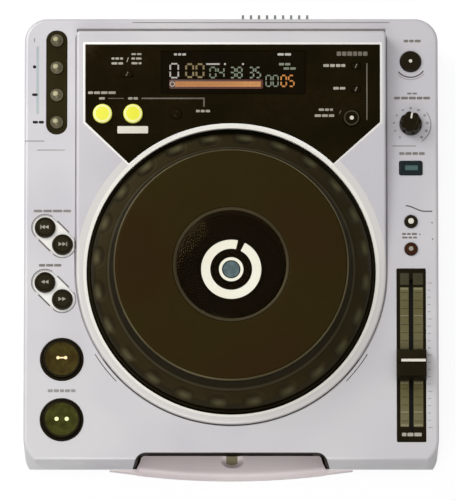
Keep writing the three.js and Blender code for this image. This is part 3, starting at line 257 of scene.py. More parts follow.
def carried(outline, stages, along="z"):
    """Outline p moved to p - inset * m at each stage, where m = (n1 + n2) / (1 + n1.n2) is the
    mitre of its two sides; the first and last stages are capped."""
    outline = np.asarray(outline, float)
    side = np.roll(outline, -1, axis=0) - outline
    side /= np.linalg.norm(side, axis=1)[:, None]
    normal = np.stack([side[:, 1], -side[:, 0]], axis=1)
    before = np.roll(normal, 1, axis=0)
    mitre = (normal + before) / (1 + np.sum(normal * before, axis=1))[:, None]
    area = np.sum(outline[:, 0] * np.roll(outline[:, 1], -1) - outline[:, 1] * np.roll(outline[:, 0], -1))
    mitre *= np.sign(area)
    count = len(outline)
    layers = []
    for inset, height in stages:
        flat = outline - inset * mitre
        layers.append(np.column_stack([flat, np.full(count, height)]))
    points = np.vstack(layers)
    if along == "x":
        points = points[:, [2, 0, 1]]
    here = np.arange(count)
    faces = []
    for k in range(len(stages) - 1):
        low, high = here + k * count, here + (k + 1) * count
        faces += np.stack([low, np.roll(low, -1), np.roll(high, -1), high], axis=1).tolist()
    faces += [here[::-1].tolist(), (here + (len(stages) - 1) * count).tolist()]
    return points, faces


def rounded_box(x, y, width, depth, radius, steps=8):
    """Corners at half the width and depth, each a quarter circle of the radius."""
    turn = np.linspace(0, np.pi / 2, steps + 1)
    path = []
    for k, (sx, sy) in enumerate([(1, 1), (-1, 1), (-1, -1), (1, -1)]):
        a = turn + k * np.pi / 2
        path.append(np.column_stack([x + sx * (width / 2 - radius) + radius * np.cos(a),
                                     y + sy * (depth / 2 - radius) + radius * np.sin(a)]))
    return np.vstack(path)


def circle(x, y, radius, steps=64):
    a = np.arange(steps) * 2 * np.pi / steps
    return np.column_stack([x + radius * np.cos(a), y + radius * np.sin(a)])


def round_over(low, high, radius):
    """Stages from low to high whose last part insets by a quarter circle, r (1 - cos a)."""
    a = np.linspace(0, np.pi / 2, 7)
    top = [(radius * (1 - math.cos(t)), high - radius + radius * math.sin(t)) for t in a]
    return [(0.0, low)] + top


def box_shape(x, y, z):
    """A plain box from three pairs of ends."""
    corners = [(x[0], y[0]), (x[1], y[0]), (x[1], y[1]), (x[0], y[1])]
    return carried(corners, [(0, z[0]), (0, z[1])])


def merged(shapes):
    """Several shapes as one, their face numbers moved on past the points before them."""
    points, faces, count = [], [], 0
    for p, f in shapes:
        points.append(p)
        faces += [[i + count for i in face] for face in f]
        count += len(p)
    return np.vstack(points), faces


def volume(points, faces):
    """Sum over each face's fan of a . (b x c) / 6, positive when the faces look outward."""
    total = 0.0
    for size in {len(f) for f in faces}:
        corner = points[np.array([f for f in faces if len(f) == size])]
        total += np.sum(corner[:, :1] * np.cross(corner[:, 1:-1], corner[:, 2:]))
    return total / 6


def mesh_of(name, shape, scale=MM):
    points, faces = shape
    if volume(points, faces) < 0:
        faces = [f[::-1] for f in faces]
    mesh = bpy.data.meshes.new(name)
    mesh.from_pydata((points * scale).tolist(), [], faces)
    mesh.update()
    return mesh


# %% [markdown]
# A finished piece rides a body of the frame, so it moves with that body's joint. Where it dresses a
# solid it also stands for that solid, which is hidden. Its place and size are read from
# the solid's box, so that the pieces follow the frame when it changes.


# %% Pieces and places
def piece(name, shape, body, finish, stands_for=None, crease=35):
    """A finished piece: its mesh is shaded smooth but for edges sharper than the crease."""
    made = bpy.data.objects.new(name, mesh_of(name, shape))
    bpy.context.scene.collection.objects.link(made)
    made.data.shade_smooth()
    made.data.set_sharp_from_angle(angle=math.radians(crease))
    made.data.materials.append(finish)
    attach(made, body)
    if stands_for:
        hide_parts(stands_for)
    return made


def sloped(shape):
    """From the panel's own frame (across, back along the slope, above it) to the shared frame."""
    p, faces = shape
    sin, cos = math.sin(SLOPE), math.cos(SLOPE)
    return np.column_stack([p[:, 0], JOG_Y + p[:, 1] * cos - p[:, 2] * sin,
                            COLLAR + p[:, 1] * sin + p[:, 2] * cos]), faces


def panel_place(node):
    """Middle of a node's box, in the panel's own frame."""
    low, high = (np.array(corner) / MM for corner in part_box(node))
    x, y, z = (low + high) / 2 - (0, JOG_Y, COLLAR)
    return x, y * math.cos(SLOPE) + z * math.sin(SLOPE)


def middle(node):
    low, high = (np.array(corner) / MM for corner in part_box(node))
    return (low[0] + high[0]) / 2, (low[1] + high[1]) / 2


def across(node):
    """Half a node's width: its radius where it is round."""
    return (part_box(node)[1][0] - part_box(node)[0][0]) / MM / 2


def depth_of(node):
    return (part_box(node)[1][1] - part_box(node)[0][1]) / MM


def high_of(node):
    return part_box(node)[1][2] / MM


def low_of(node):
    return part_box(node)[0][2] / MM


print("wheel radius:", round(across("jog_ring"), 1), "mm, top at", round(high_of("jog_plate"), 1), "mm")

# %% [markdown]
# ## The top case
# The case is one silver moulding: a deck with a round-over along its outline, a sloping platform for
# the wheel and the panel, and a front that falls away to a nose. It could be drawn by hand vertex by
# vertex, but it is really a few plain bodies added and cut, so Blender's boolean modifier does that,
# with outlines fine enough that no corner shows facets. A narrow bevel then catches the light along
# every edge, as a moulded edge does.
#
# Two painted highlights change colour by place: the case is paler close to the wheel, where the rim
# round the well catches the light, and the wheel's finger dimples are lighter than its ring, where
# they catch it. Both are worked out from the distance and angle about the wheel's axis, in Object
# coordinates, so they stay where they are from any side.


# %% Colour by place
DIMPLES, DIMPLE_REACH, DIMPLE_DEEP, DIMPLE_PHASE = 24, 98.6, 3.0, 0.096
STEP_WIDE = 0.1
# The painted highlight in the dimples: its wave round the wheel, and how far it reaches from their circle.
GLINT_WAVE, GLINT_FAR, GLINT_NEAR, GLINT_OUT = (-0.1, 0.95), 3.4, 0.4, 0.9


def about_jog(tree):
    """Nodes for a place measured from the wheel's axis: its parts, and its distance from the axis."""
    place = tree.nodes.new("ShaderNodeTexCoord")
    moved = tree.nodes.new("ShaderNodeVectorMath")
    moved.inputs[1].default_value = (0, -JOG_Y * MM, 0)
    wire(tree, place.outputs["Object"], moved.inputs[0])
    apart = tree.nodes.new("ShaderNodeSeparateXYZ")
    wire(tree, moved.outputs["Vector"], apart.inputs["Vector"])
    reach = tree.nodes.new("ShaderNodeVectorMath")
    reach.operation = "LENGTH"
    flat = tree.nodes.new("ShaderNodeCombineXYZ")
    for axis in "XY":
        wire(tree, apart.outputs[axis], flat.inputs[axis])
    wire(tree, flat.outputs["Vector"], reach.inputs[0])
    return apart, reach.outputs["Value"]


def reckon(tree, operation, first, second=None):
    """One sum on node values; the second may be a socket or a plain number."""
    made = tree.nodes.new("ShaderNodeMath")
    made.operation = operation
    wire(tree, first, made.inputs[0])
    if isinstance(second, (int, float)):
        made.inputs[1].default_value = second
    elif second is not None:
        wire(tree, second, made.inputs[1])
    return made.outputs["Value"]


def repaint(material, shade, share):
    """Mixes a shade over the material's present colour."""
    shader = material.node_tree.nodes["Principled BSDF"]
    present = shader.inputs["Base Color"].links[0].from_socket
    colour = mixed(material.node_tree, present, tone(*shade), share)
    wire(material.node_tree, colour, shader.inputs["Base Color"])
    return material


def with_zone(material, shade, radius, above):
    """Inside a radius about the wheel's axis, and above a height, the colour turns to the shade:
    share = step(radius - reach) * step(z - above), each step a tenth of a millimetre wide."""
    tree = material.node_tree
    apart, reach = about_jog(tree)
    height = ranged(tree, apart.outputs["Z"], above * MM, (above + STEP_WIDE) * MM)
    inside = ranged(tree, reach, (radius + STEP_WIDE) * MM, radius * MM)
    return repaint(material, shade, reckon(tree, "MULTIPLY", inside, height))


def with_dimple_highlights(material, shade):
    """A painted highlight in the finger dimples, where they catch the light:
    share = ramp(cos(n (angle + phase))) times a ramp that falls away from the dimples' circle."""
    tree = material.node_tree
    apart, reach = about_jog(tree)
    angle = reckon(tree, "ARCTAN2", apart.outputs["Y"], apart.outputs["X"])
    turn = reckon(tree, "MULTIPLY", reckon(tree, "ADD", angle, DIMPLE_PHASE), float(DIMPLES))
    wave = ranged(tree, reckon(tree, "COSINE", turn), *GLINT_WAVE)
    off = reckon(tree, "ABSOLUTE", reckon(tree, "SUBTRACT", reach, (DIMPLE_REACH + GLINT_OUT) * MM))
    band = ranged(tree, off, GLINT_FAR * MM, GLINT_NEAR * MM)
    return repaint(material, shade, reckon(tree, "MULTIPLY", wave, band))


# Painted highlight: the case turns paler towards the wheel, where the rim round the well catches the light.
collar_highlighted = silver.copy()
collar_highlighted.name = "case_silver_collared"
COLLAR_HIGHLIGHTS = {114.1: (220, 217, 213), 108.8: (243, 240, 230)}
for zone_radius, shade in COLLAR_HIGHLIGHTS.items():
    with_zone(collar_highlighted, shade, zone_radius, DECK + 0.3)
print("zones on the collar:", len(COLLAR_HIGHLIGHTS))


# %% Booleans
def combined(shapes, how):
    """The first shape with the others taken away, added or kept in common, one modifier each:
    DIFFERENCE, UNION or INTERSECT. The blanks are removed again."""
    made = []
    for i, shape in enumerate(shapes):
        made.append(bpy.data.objects.new(f"blank_{i}", mesh_of(f"blank_{i}", shape, 1.0)))
        bpy.context.scene.collection.objects.link(made[-1])
    for tool in made[1:]:
        step = made[0].modifiers.new("step", "BOOLEAN")
        step.operation = how
        step.solver = "MANIFOLD"
        step.object = tool
    bpy.context.view_layer.update()
    whole = bpy.data.meshes.new_from_object(made[0].evaluated_get(bpy.context.evaluated_depsgraph_get()))
    points = np.zeros(len(whole.vertices) * 3)
    whole.vertices.foreach_get("co", points)
    faces = [list(face.vertices) for face in whole.polygons]
    for blank in made:
        bpy.data.meshes.remove(blank.data)
    bpy.data.meshes.remove(whole)
    return points.reshape(-1, 3), faces


BEVEL_ANGLE = math.radians(38)


def bevelled(made, width):
    """Two narrow steps along every edge that is sharper than the angle."""
    bevel = made.modifiers.new("edges", "BEVEL")
    bevel.width = width * MM
    bevel.segments = 2
    bevel.limit_method = "ANGLE"
    bevel.angle_limit = BEVEL_ANGLE
    bevel.use_clamp_overlap = False
    bevel.harden_normals = True
    return made


print("boolean and bevel helpers ready")

# %% [markdown]
# The case's body is the common part of two carried outlines: its plan, which has the rounded
# corners, and its section from front to rear, which has the fold and the undercut nose. The platform
# is built layer by layer instead, because its top slopes and its edge still has to round over.


# %% Case and platform bodies
CASE_LOW, CASE_WALL, SPARE = 6.0, 3.0, 2.0
CASE_SIDE = across("top_case")
CASE_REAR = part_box("top_case")[1][1] / MM
NOSE_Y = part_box("top_case")[0][1] / MM
UNDERCUT, FRONT_LEAN, NOSE_DROP = 9.0, 4.2, 18.0
FRONT_Y = NOSE_Y + FRONT_LEAN
NOSE_Z = DECK - NOSE_DROP
REAR_CORNER, FRONT_CORNER = 17.0, 20.0
PLATFORM, PLATFORM_CORNER = 114.0, 2.8
PLATFORM_REAR = JOG_Y + PLATFORM_LONG * math.cos(SLOPE)
CORNER_STEPS, BORDER = 8, 0.4


def case_outline(inset):
    """A rounded box whose front corners are wider than its rear ones, less the inset."""
    turn = np.linspace(0, np.pi / 2, 2 * CORNER_STEPS + 1)
    corners = [(1, CASE_REAR, REAR_CORNER), (-1, CASE_REAR, REAR_CORNER),
               (-1, NOSE_Y, FRONT_CORNER), (1, NOSE_Y, FRONT_CORNER)]
    path = []
    for k, (sx, y, r) in enumerate(corners):
        a = turn + k * np.pi / 2
        inward = -1 if y > 0 else 1
        path.append(np.column_stack([sx * (CASE_SIDE - r) + (r - inset) * np.cos(a),
                                     y + inward * r + (r - inset) * np.sin(a)]))
    return np.vstack(path)


def case_side(inset, low, fold):
    """Section in (y, z): deck, fold, slope down to the nose, undercut below it."""
    nose = [(NOSE_Y + UNDERCUT + inset, low), (NOSE_Y + inset, NOSE_Z), (FRONT_Y + inset, DECK - inset)]
    rear = [(CASE_REAR + SPARE, DECK - inset), (CASE_REAR + SPARE, low)]
    return softened(nose + rear, [0, fold, fold, 0, 0])


def with_flat_border(stages):
    """One more stage just inside the last, so that the rounding's shading stays off the flat top."""
    return stages + [(stages[-1][0] + BORDER, stages[-1][1])]


def case_body(inset, low, soft):
    """Plan and section in common. Where its edge isn't soft, the plan stands proud of the section."""
    stages = [(0, low), (0, DECK + SPARE)]
    if soft:
        stages = with_flat_border(round_over(low, DECK - inset, soft))
    upright = carried(case_outline(inset), stages)
    section = carried(case_side(inset, low, soft), [(0, -CASE_SIDE - SPARE), (0, CASE_SIDE + SPARE)], "x")
    return combined([upright, section], "INTERSECT")


def platform_outline(inset):
    """Straight sides back to small corners, and half a circle round the wheel in front."""
    side, rear = PLATFORM - inset, PLATFORM_REAR - inset
    turn = np.linspace(0, np.pi / 2, CORNER_STEPS + 1)
    right = np.column_stack([side - PLATFORM_CORNER + PLATFORM_CORNER * np.cos(turn),
                             rear - PLATFORM_CORNER + PLATFORM_CORNER * np.sin(turn)])
    front = np.linspace(np.pi, 2 * np.pi, 145)
    arc = np.column_stack([side * np.cos(front), JOG_Y + side * np.sin(front)])
    return np.vstack([right, right[::-1] * (-1, 1), arc])


def platform_body(inset, thick, low, soft):
    """Flat in front of the wheel's middle and rising by the slope behind it: z = top(y) - drop.
    The lid is two faces, so that each is flat."""
    path = platform_outline(inset)
    stages = with_flat_border(round_over(0, soft, soft)) if soft else [(0, 0)]
    layers = carried(path, [(0, low)] + stages)[0].reshape(-1, len(path), 3)
    for layer in layers[1:]:
        rise = np.maximum(layer[:, 1] - JOG_Y, 0) * math.tan(SLOPE)
        layer[:, 2] += COLLAR - thick + rise - soft
    count = len(path)
    here = np.arange(count)
    faces = [here[::-1].tolist()]
    for k in range(len(stages)):
        lower, upper = here + k * count, here + (k + 1) * count
        faces += np.stack([lower, np.roll(lower, -1), np.roll(upper, -1), upper], axis=1).tolist()
    lid = here + len(stages) * count
    rear = 2 * (CORNER_STEPS + 1)
    faces += [lid[:rear].tolist() + [int(lid[rear]), int(lid[-1])], lid[rear:].tolist()]
    return layers.reshape(-1, 3), faces


print("case", round(2 * CASE_SIDE, 1), "mm wide, platform", 2 * PLATFORM, "mm wide")

# %% [markdown]
# The disc goes in through a slot at the rear of a notch in the front edge. Under the deck's edge the
# notch opens into a somewhat larger mouth, whose walls carry black films of painted shade. Both are
# outlines that grow by a margin, because the shell is cut by one size and the films are made a little
# smaller.


# %% Notch, mouth and slot
NOTCH_Y, MOUTH_DEEP = FRONT_Y + 5.6, 2.8
LIP_LOW, LIP_TOP, LIP_HALF = low_of("disc_lip"), high_of("disc_lip"), across("disc_lip")
BEFORE_NOSE = NOSE_Y - 4.0
NOTCH_HALF, NOTCH_FLARE, NOTCH_CORNER = 67.3, 0.57, 5.0
MOUTH_HALF, MOUTH_CORNER, MOUTH_KINK, KINK_CORNER = 68.6, 4.0, (69.6, -161.6), 1.5
FLARE_AT_NOSE = NOTCH_FLARE * (NOTCH_Y - BEFORE_NOSE)
SLOT_Z, SLOT_SIZE = 51.0, (121.4, 6.0, 1.4)


def mirrored(right, radii):
    """A softened outline from its right half, which starts at the rear, and the same on the left."""
    left = [(-x, y) for x, y in reversed(right)]
    return softened(right + left, radii + radii[::-1])


def notch(margin, low):
    """A trapezium open to the front, wider towards the nose, with soft corners at the rear."""
    wide = NOTCH_HALF + margin
    path = mirrored([(wide, NOTCH_Y + margin), (wide + FLARE_AT_NOSE, BEFORE_NOSE)], [NOTCH_CORNER, 0])
    return carried(path, [(0, low), (0, DECK + SPARE)])


def mouth(margin, low, high):
    """The room under the deck's edge: deeper than the notch at the rear, in line with it at the nose."""
    kink_x, kink_y = MOUTH_KINK
    path = mirrored([(MOUTH_HALF + margin, NOTCH_Y + MOUTH_DEEP + margin), (kink_x + margin, kink_y),
                     (NOTCH_HALF - 0.1 + FLARE_AT_NOSE + margin, BEFORE_NOSE)],
                    [MOUTH_CORNER, KINK_CORNER, 0])
    return carried(path, [(0, low), (0, high)])


def slot_bar(margin, near, far):
    """The disc slot as a bar along Y, grown by a margin, between two depths behind the notch's edge."""
    wide, tall, corner = SLOT_SIZE
    outline = rounded_box(0, SLOT_Z, wide + 2 * margin, tall + 2 * margin, corner + margin)
    points, faces = carried(outline, [(0, -NOTCH_Y - far), (0, -NOTCH_Y - near)])
    return points[:, [0, 2, 1]] * (1, -1, 1), faces


print("slot", SLOT_SIZE[0], "mm wide at", SLOT_Z, "mm")

# %% [markdown]
# The panel's outline and the openings in it are used twice: cut through the case with one margin,
# and cut in or left out of the panel's own plate with a smaller one. The deck has openings for its
# buttons, its inlay, its knob and its fader, and a shallow recess shaped like a capsule for each
# pair of small buttons.


# %% Openings
ARC, TIP_HALF, SHOULDER, PANEL_BACK = 110.0, 75.3, 110.84, 168.0
PANEL_LEFT, PANEL_RIGHT = -107.2, 109.4


def panel_outline(margin):
    """Straight rear and sides, two diagonals, and an arc round the wheel, grown by a margin."""
    arc, left, right, back = ARC - margin, PANEL_LEFT - margin, PANEL_RIGHT + margin, PANEL_BACK + margin
    tip = math.asin(TIP_HALF / ARC)
    turn = np.linspace(np.pi / 2 + tip, np.pi / 2 - tip, 73)
    path = np.column_stack([arc * np.cos(turn), arc * np.sin(turn)])
    shoulder = SHOULDER - margin / 2
    rest = [(path[-1][0] + margin, path[-1][1]), (right, shoulder), (right, back), (left, back),
            (left, shoulder), (path[0][0] - margin, path[0][1])]
    return np.vstack([path, rest] if margin else [path, rest[1:-1]])


ROUND_KEYS = {"loop_in_button": 7.0, "loop_out_button": 7.0, "reloop_button": 4.0, "return_button": 6.2}
SQUARE_KEYS = {"time_mode_button": (8.0, 4.0), "memory_button": (6.0, 4.0), "call_button": (6.0, 4.0)}
GLASS = (1.52, 147.56, 106.0, 31.5)


def panel_openings(margin, low, high):
    found = [circle(*panel_place(node), radius + margin, 48) for node, radius in ROUND_KEYS.items()]
    boxes = [(*panel_place(node), *size, 1.2) for node, size in SQUARE_KEYS.items()] + [(*GLASS, 1.0)]
    found += [rounded_box(x, y, wide + 2 * margin, deep + 2 * margin, corner)
              for x, y, wide, deep, corner in boxes]
    return [carried(outline, [(0, low), (0, high)]) for outline in found]


PAIRS = [("track_back_button", "track_forward_button"), ("search_back_button", "search_forward_button")]
PAIRED = [node for pair in PAIRS for node in pair]
DECK_ROUNDS = ["eject_button", "tempo_range_button", "master_tempo_button", *PAIRED]
BIG_OPENING, KNOB_OPENING = 16.05, 4.3
OPENING_GAP, CAPSULE_RADIUS, CAPSULE_TURN = 0.3, 9.1, 33


def capsule(pair, radius):
    """The outline of a bar with round ends about two buttons."""
    (x0, y0), (x1, y1) = map(middle, pair)
    lean = math.atan2(y1 - y0, x1 - x0)
    turn = np.linspace(np.pi / 2, 3 * np.pi / 2, CAPSULE_TURN) + lean
    start = np.column_stack([x0 + radius * np.cos(turn), y0 + radius * np.sin(turn)])
    end = np.column_stack([x1 - radius * np.cos(turn), y1 - radius * np.sin(turn)])
    return np.vstack([start, end])


def round_hole(node):
    return circle(*middle(node), across(node) + OPENING_GAP, 48)


def deck_openings():
    found = [round_hole(node) for node in DECK_ROUNDS]
    found += [circle(*middle(node), BIG_OPENING, 72) for node in ("cue_button", "play_button")]
    found.append(circle(*middle("jog_adjust_knob"), KNOB_OPENING, 32))
    inlay_deep, plate_deep = (depth_of(node) + 2 * OPENING_GAP for node in ("cue_inlay", "fader_plate"))
    found.append(rounded_box(*middle("cue_inlay"), 15.6, inlay_deep, 7.6, 16))
    found.append(rounded_box(*middle("jog_mode_button"), 17.2, 10.8, 1.5))
    found.append(rounded_box(*middle("fader_plate"), 21.6, plate_deep, 1.0))
    through = [(0, DECK - CASE_WALL - SPARE), (0, DECK + SPARE)]
    recesses = [carried(capsule(pair, CAPSULE_RADIUS), [(0, BED), (0, DECK + SPARE)]) for pair in PAIRS]
    return [carried(outline, through) for outline in found] + recesses


print("openings in the deck:", len(deck_openings()), "in the panel:", len(panel_openings(0, -1, 1)))

# %% [markdown]
# Now the parts come together. The outside is the case and the platform added; the hollow is the same
# two, smaller by the wall. From the outside go the hollow, the mouth and notch, a recess and window
# at the rear for the jacks, the slot, the round well of the wheel, and every opening. A fine groove
# round the foot of the platform is left as the line where it meets the deck.


# %% The shell
RECESS_HALF, RECESS_Y, RECESS_LOW, RECESS_HIGH, RECESS_RIM = 118.0, 158.98, 12.0, 68.0, 3.0
OPENING_Y = (153.9, 161.0)
STRIP_BACK, STRIP_CORNER = 3.7, 0.4


def recess(margin):
    return box_shape((-RECESS_HALF - margin, RECESS_HALF + margin), (RECESS_Y - margin, CASE_REAR + SPARE),
                     (RECESS_LOW - margin, RECESS_HIGH + margin))


def foot_band(outer, inner, low, high):
    """A band round the platform's foot, between two distances outside its outline."""
    whole = carried(platform_outline(-outer), [(0, DECK - low), (0, DECK + high)])
    core = carried(platform_outline(-inner), [(0, DECK - 2.0), (0, DECK + 1.0)])
    return combined([whole, core], "DIFFERENCE")


def rear_strip(wide, deep, low, high):
    """A strip across, just behind the platform's rear."""
    return carried(rounded_box(0, PLATFORM_REAR + STRIP_BACK, wide, deep, STRIP_CORNER),
                   [(0, DECK + low), (0, DECK + high)])


MOUTH_TOP, PANEL_SINK = DECK - 1.6, 2.5
WELL_RADIUS, WELL_LOW = 106.3, 70.0
CASE_SOFT, PLATFORM_SOFT, PLATFORM_WALL = 2.4, 1.8, 4.0
inner_case = case_body(CASE_WALL, CASE_LOW - SPARE, 0)
inner_platform = platform_body(CASE_WALL, PLATFORM_WALL, DECK - 2 * CASE_WALL, 0)
hollow = combined([combined([inner_case, inner_platform], "UNION"),
                   notch(CASE_WALL + 2.5, LIP_LOW - CASE_WALL), recess(CASE_WALL)], "DIFFERENCE")
outside = combined([case_body(0, CASE_LOW, CASE_SOFT),
                    platform_body(0, 0, DECK - CASE_WALL, PLATFORM_SOFT)], "UNION")
well = carried(circle(0, JOG_Y - 0.7, WELL_RADIUS, 192), [(0, WELL_LOW), (0, COLLAR + 14.0)])
window = box_shape((RECESS_RIM - RECESS_HALF, RECESS_HALF - RECESS_RIM), OPENING_Y,
                   (RECESS_LOW + RECESS_RIM, RECESS_HIGH - RECESS_RIM))
grooves = [foot_band(0.9, 0, 1.0, 0.4), rear_strip(2 * PLATFORM, 2.5, -0.5, SPARE)]
front_cuts = [mouth(0, LIP_LOW - 0.3, MOUTH_TOP), notch(0, LIP_LOW - 0.3)]
panel_cuts = [carried(panel_outline(OPENING_GAP), [(0, -PANEL_SINK), (0, SPARE)]),
              *panel_openings(2 * OPENING_GAP, -6.0, SPARE)]
shell = combined([outside, hollow, *grooves, *front_cuts, recess(0), window, slot_bar(0.35, -SPARE, 5.0),
                  well, *map(sloped, panel_cuts), *deck_openings()], "DIFFERENCE")
bevelled(piece("case_shell", shell, "case", collar_highlighted, "top_case"), 0.35)
print("case shell faces:", len(shell[1]), "volume cm3:", round(abs(volume(*shell)) / 1000, 1))

# %% [markdown]
# The groove round the platform is the joint where it meets the deck. Thin fillings of three greys lie
# in it: the dark one in front is painted shade, where the platform shades the groove, and the greys
# along the sides and the rear are the joint's line with some painted shade in it. A fine grey line
# lies along the deck just in front of its rear edge.

# %% Seams
seam_grey = finish_of("seam_grey", [(158, 154, 156), (168, 164, 166), (148, 144, 146)], 0.5, gloss=0.1)
seam_mid = finish_of("seam_mid", [(142, 138, 136), (152, 148, 146), (130, 126, 124)], 0.5, gloss=0.1)
# Painted shade for the groove in front of the platform.
seam_dark = finish_of("seam_dark", [(84, 80, 76), (94, 90, 86), (72, 68, 64)], 0.5, gloss=0.1)
filling = foot_band(0.8, 0.1, 0.9, -0.3)
front_half = box_shape((-120, 120), (-160, -88), (60, 90))
edge_line = carried(rounded_box(22, CASE_REAR - 3.0, 190, 0.7, 0.2), [(0, DECK), (0, DECK + 0.04)])
for name, shape, finish in [
        ("platform_front_seam", combined([filling, front_half], "INTERSECT"), seam_dark),
        ("platform_side_seam", combined([filling, front_half], "DIFFERENCE"), seam_grey),
        ("platform_rear_seam", rear_strip(2 * PLATFORM - 0.1, 2.4, -0.48, -0.2), seam_mid),
        ("rear_edge_line", edge_line, seam_grey)]:
    piece(name, shape, "case", finish)
    print(name, "faces:", len(shape[1]))

# %% [markdown]
# The mouth's shade is painted: black walls a little inside the cut, a narrow black floor along them
# that stays clear of the finger pit, a black sleeve through the slot, and a small black wall behind
# the pit. Two felt strips close the slot and leave a fine gap for the disc.

# %% Painted shade in the mouth, and felt
FELT_HALF, FELT_GAP, FELT_TALL = 60.4, 0.15, 2.65
PIT_SIDES = (-8.6, 10.6)
MOUTH_REAR = NOTCH_Y + MOUTH_DEEP
inside_nose = case_body(0.7, CASE_LOW, 0)
shade_blank = combined([mouth(-0.05, LIP_TOP - 0.6, MOUTH_TOP - 0.1), inside_nose], "INTERSECT")
shade_wall = combined([shade_blank, mouth(-0.45, LIP_TOP - 2, DECK), slot_bar(0, -SPARE, 5.0)], "DIFFERENCE")
floored = combined([mouth(-0.05, LIP_TOP - 1.1, LIP_TOP - 0.5), inside_nose], "INTERSECT")
above_pit = box_shape(PIT_SIDES, (NOTCH_Y - 9, NOTCH_Y + 2.5), (40, 50))
shade_floor = combined([floored, mouth(-2.2, LIP_TOP - 3, DECK), above_pit], "DIFFERENCE")
sleeve = combined([slot_bar(0.3, MOUTH_DEEP + 0.05, 4.9), slot_bar(0, 0, 6.0)], "DIFFERENCE")
pit_back = box_shape(PIT_SIDES, (MOUTH_REAR - 0.4, MOUTH_REAR - 0.05), (LIP_LOW + 4, LIP_TOP - 0.6))
mouth_shade = merged([shade_wall, shade_floor, sleeve, pit_back])
# Black sheet for the painted shade under the deck's edge.
piece("slot_mouth_liner", mouth_shade, "case", trim_black)
felt_black = finish_of("slot_felt", [(20, 18, 13), (26, 23, 17), (15, 13, 9)], 0.9, gloss=0.05)
felt = [box_shape((-FELT_HALF, FELT_HALF), (MOUTH_REAR + 0.4, MOUTH_REAR + 1.2), (low, low + FELT_TALL))
        for low in (SLOT_Z - FELT_GAP - FELT_TALL, SLOT_Z + FELT_GAP)]
piece("slot_felt_strips", merged(felt), "case", felt_black, "slot_seal")
print("slot liner faces:", len(mouth_shade[1]))

# %% [markdown]
# The floors of the two capsule recesses carry a painted highlight, as the frame round the panel does.
# Each is a thin pale film just over the recess's floor, cut out round its buttons.


# %% Capsule floors
def capsule_floor(pair):
    film = carried(capsule(pair, CAPSULE_RADIUS - 0.1), [(0, BED + 0.02), (0, BED + 0.1)])
    holes = [carried(round_hole(node), [(0, DECK - 2), (0, DECK + 2)]) for node in pair]
    return combined([film, *holes], "DIFFERENCE")


piece("capsule_floors", merged(map(capsule_floor, PAIRS)), "case", rim_silver)
print("capsule floors:", len(PAIRS))

# %% [markdown]
# ## The lip under the slot
# The lip bulges forward in a flat arc and rounds over along its top. It is one grid: every place
# across has its own closed section, whose front follows the arc and whose rear follows the edge of
# the mouth. A finger pit sinks its top in the middle, by a formula, so the skin stays smooth.


# %% Lip
PIT_DEEP, PIT_X, PIT_Y, PIT_WIDE, PIT_LONG = 3.6, 1.0, NOTCH_Y - 1.2, 8.5, 5.6
LIP_ENDS, LIP_BULGE, LIP_FOOT, LIP_ROUND = 89.5, 2.1, 4.2, 6.0
UNDER_Z, FOOT_END = 34.0, (70.15, -162.0)
LIP_BENDS = [(64.0, -155.1), (65.2, -155.4), (66.2, -156.4), (67.3, -160.4), (70.1, -165.65)]


def lip_pit(x, y):
    """How far the top sinks: deep * max(0, 1 - q)^1.2, with q = (dx / wide)^2 + (dy / long)^2."""
    q = ((x - PIT_X) / PIT_WIDE) ** 2 + ((y - PIT_Y) / PIT_LONG) ** 2
    return PIT_DEEP * np.maximum(0, 1 - q) ** 1.2


def lip_shape():
    """The front line is a circle through both ends of the lip and its furthest point in front:
    nose = front + R - sqrt(R^2 - x^2). The section rounds over from the top to the nose line, and
    runs from there to the foot, along two quadratic curves."""
    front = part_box("disc_lip")[0][1] / MM
    rise = NOSE_Y + LIP_BULGE - front
    radius = (LIP_HALF ** 2 + rise ** 2) / (2 * rise)
    bend_x, bend_y = np.array(LIP_BENDS).T
    kinks = np.append(bend_x, 66.9)
    even, over_pit = np.linspace(-LIP_ENDS, LIP_ENDS, 121), np.linspace(-9, 11, 61)
    x = np.unique(np.concatenate([even, over_pit, kinks, -kinks]))
    nose = front + radius - np.sqrt(radius ** 2 - x ** 2)
    rear = np.interp(abs(x), bend_x, bend_y)
    foot_rear = np.where(abs(x) < FOOT_END[0], rear, FOOT_END[1])
    reach = np.clip(0.85 * (rear - nose), 0.04, LIP_ROUND)
    t = np.linspace(0, 1, 9)[:, None]
    flat = rear + (nose + reach - rear) * np.linspace(0, 1, 22)[:, None]
    top = np.stack([flat, LIP_TOP - lip_pit(x, flat)], axis=2)
    turn = np.stack([nose + reach * (1 - t) ** 2 + 0.1 * reach * t * (1 - t),
                     LIP_TOP - reach * t ** 2], axis=2)[1:]
    foot = NOSE_Y + LIP_FOOT
    under = np.stack([nose + (foot - nose) * t ** 2, (LIP_TOP - reach) * (1 - t) ** 2
                      + 2 * UNDER_Z * t * (1 - t) + LIP_LOW * t ** 2], axis=2)[1:]
    last = np.stack([foot_rear, np.full(len(x), LIP_LOW)], axis=1)[None]
    section = np.concatenate([top, turn, under, last]).transpose(1, 0, 2)
    across_count, around = section.shape[:2]
    points = np.column_stack([np.repeat(x, around), section.reshape(-1, 2)])
    here = np.arange(across_count * around).reshape(across_count, around)
    a, b = here[:-1], here[1:]
    quads = np.stack([a, np.roll(a, -1, axis=1), np.roll(b, -1, axis=1), b], axis=2).reshape(-1, 4)
    return points, quads.tolist() + [here[0][::-1].tolist(), here[-1].tolist()]


lip = piece("slot_lip", lip_shape(), "case", lip_silver, "disc_lip", crease=40)
print("lip faces:", len(lip.data.polygons))

# %% [markdown]
# An olive film in the finger pit is painted shade, for the dark of the hollow under the deck's edge.
# It is a thin skin on a grid, and takes its height from the pit's own formula, so it follows the
# hollow. Its front edge bows forward.


# %% Painted shade in the finger pit
PIT_SHADE_X, PIT_SHADE_SPAN, PIT_SHADE_HALF = 0.5, 4.1, 4.2
PIT_SHADE_REAR, PIT_SHADE_LONG, PIT_SHADE_BOW = NOTCH_Y + 2.2, 5.2, 1.2


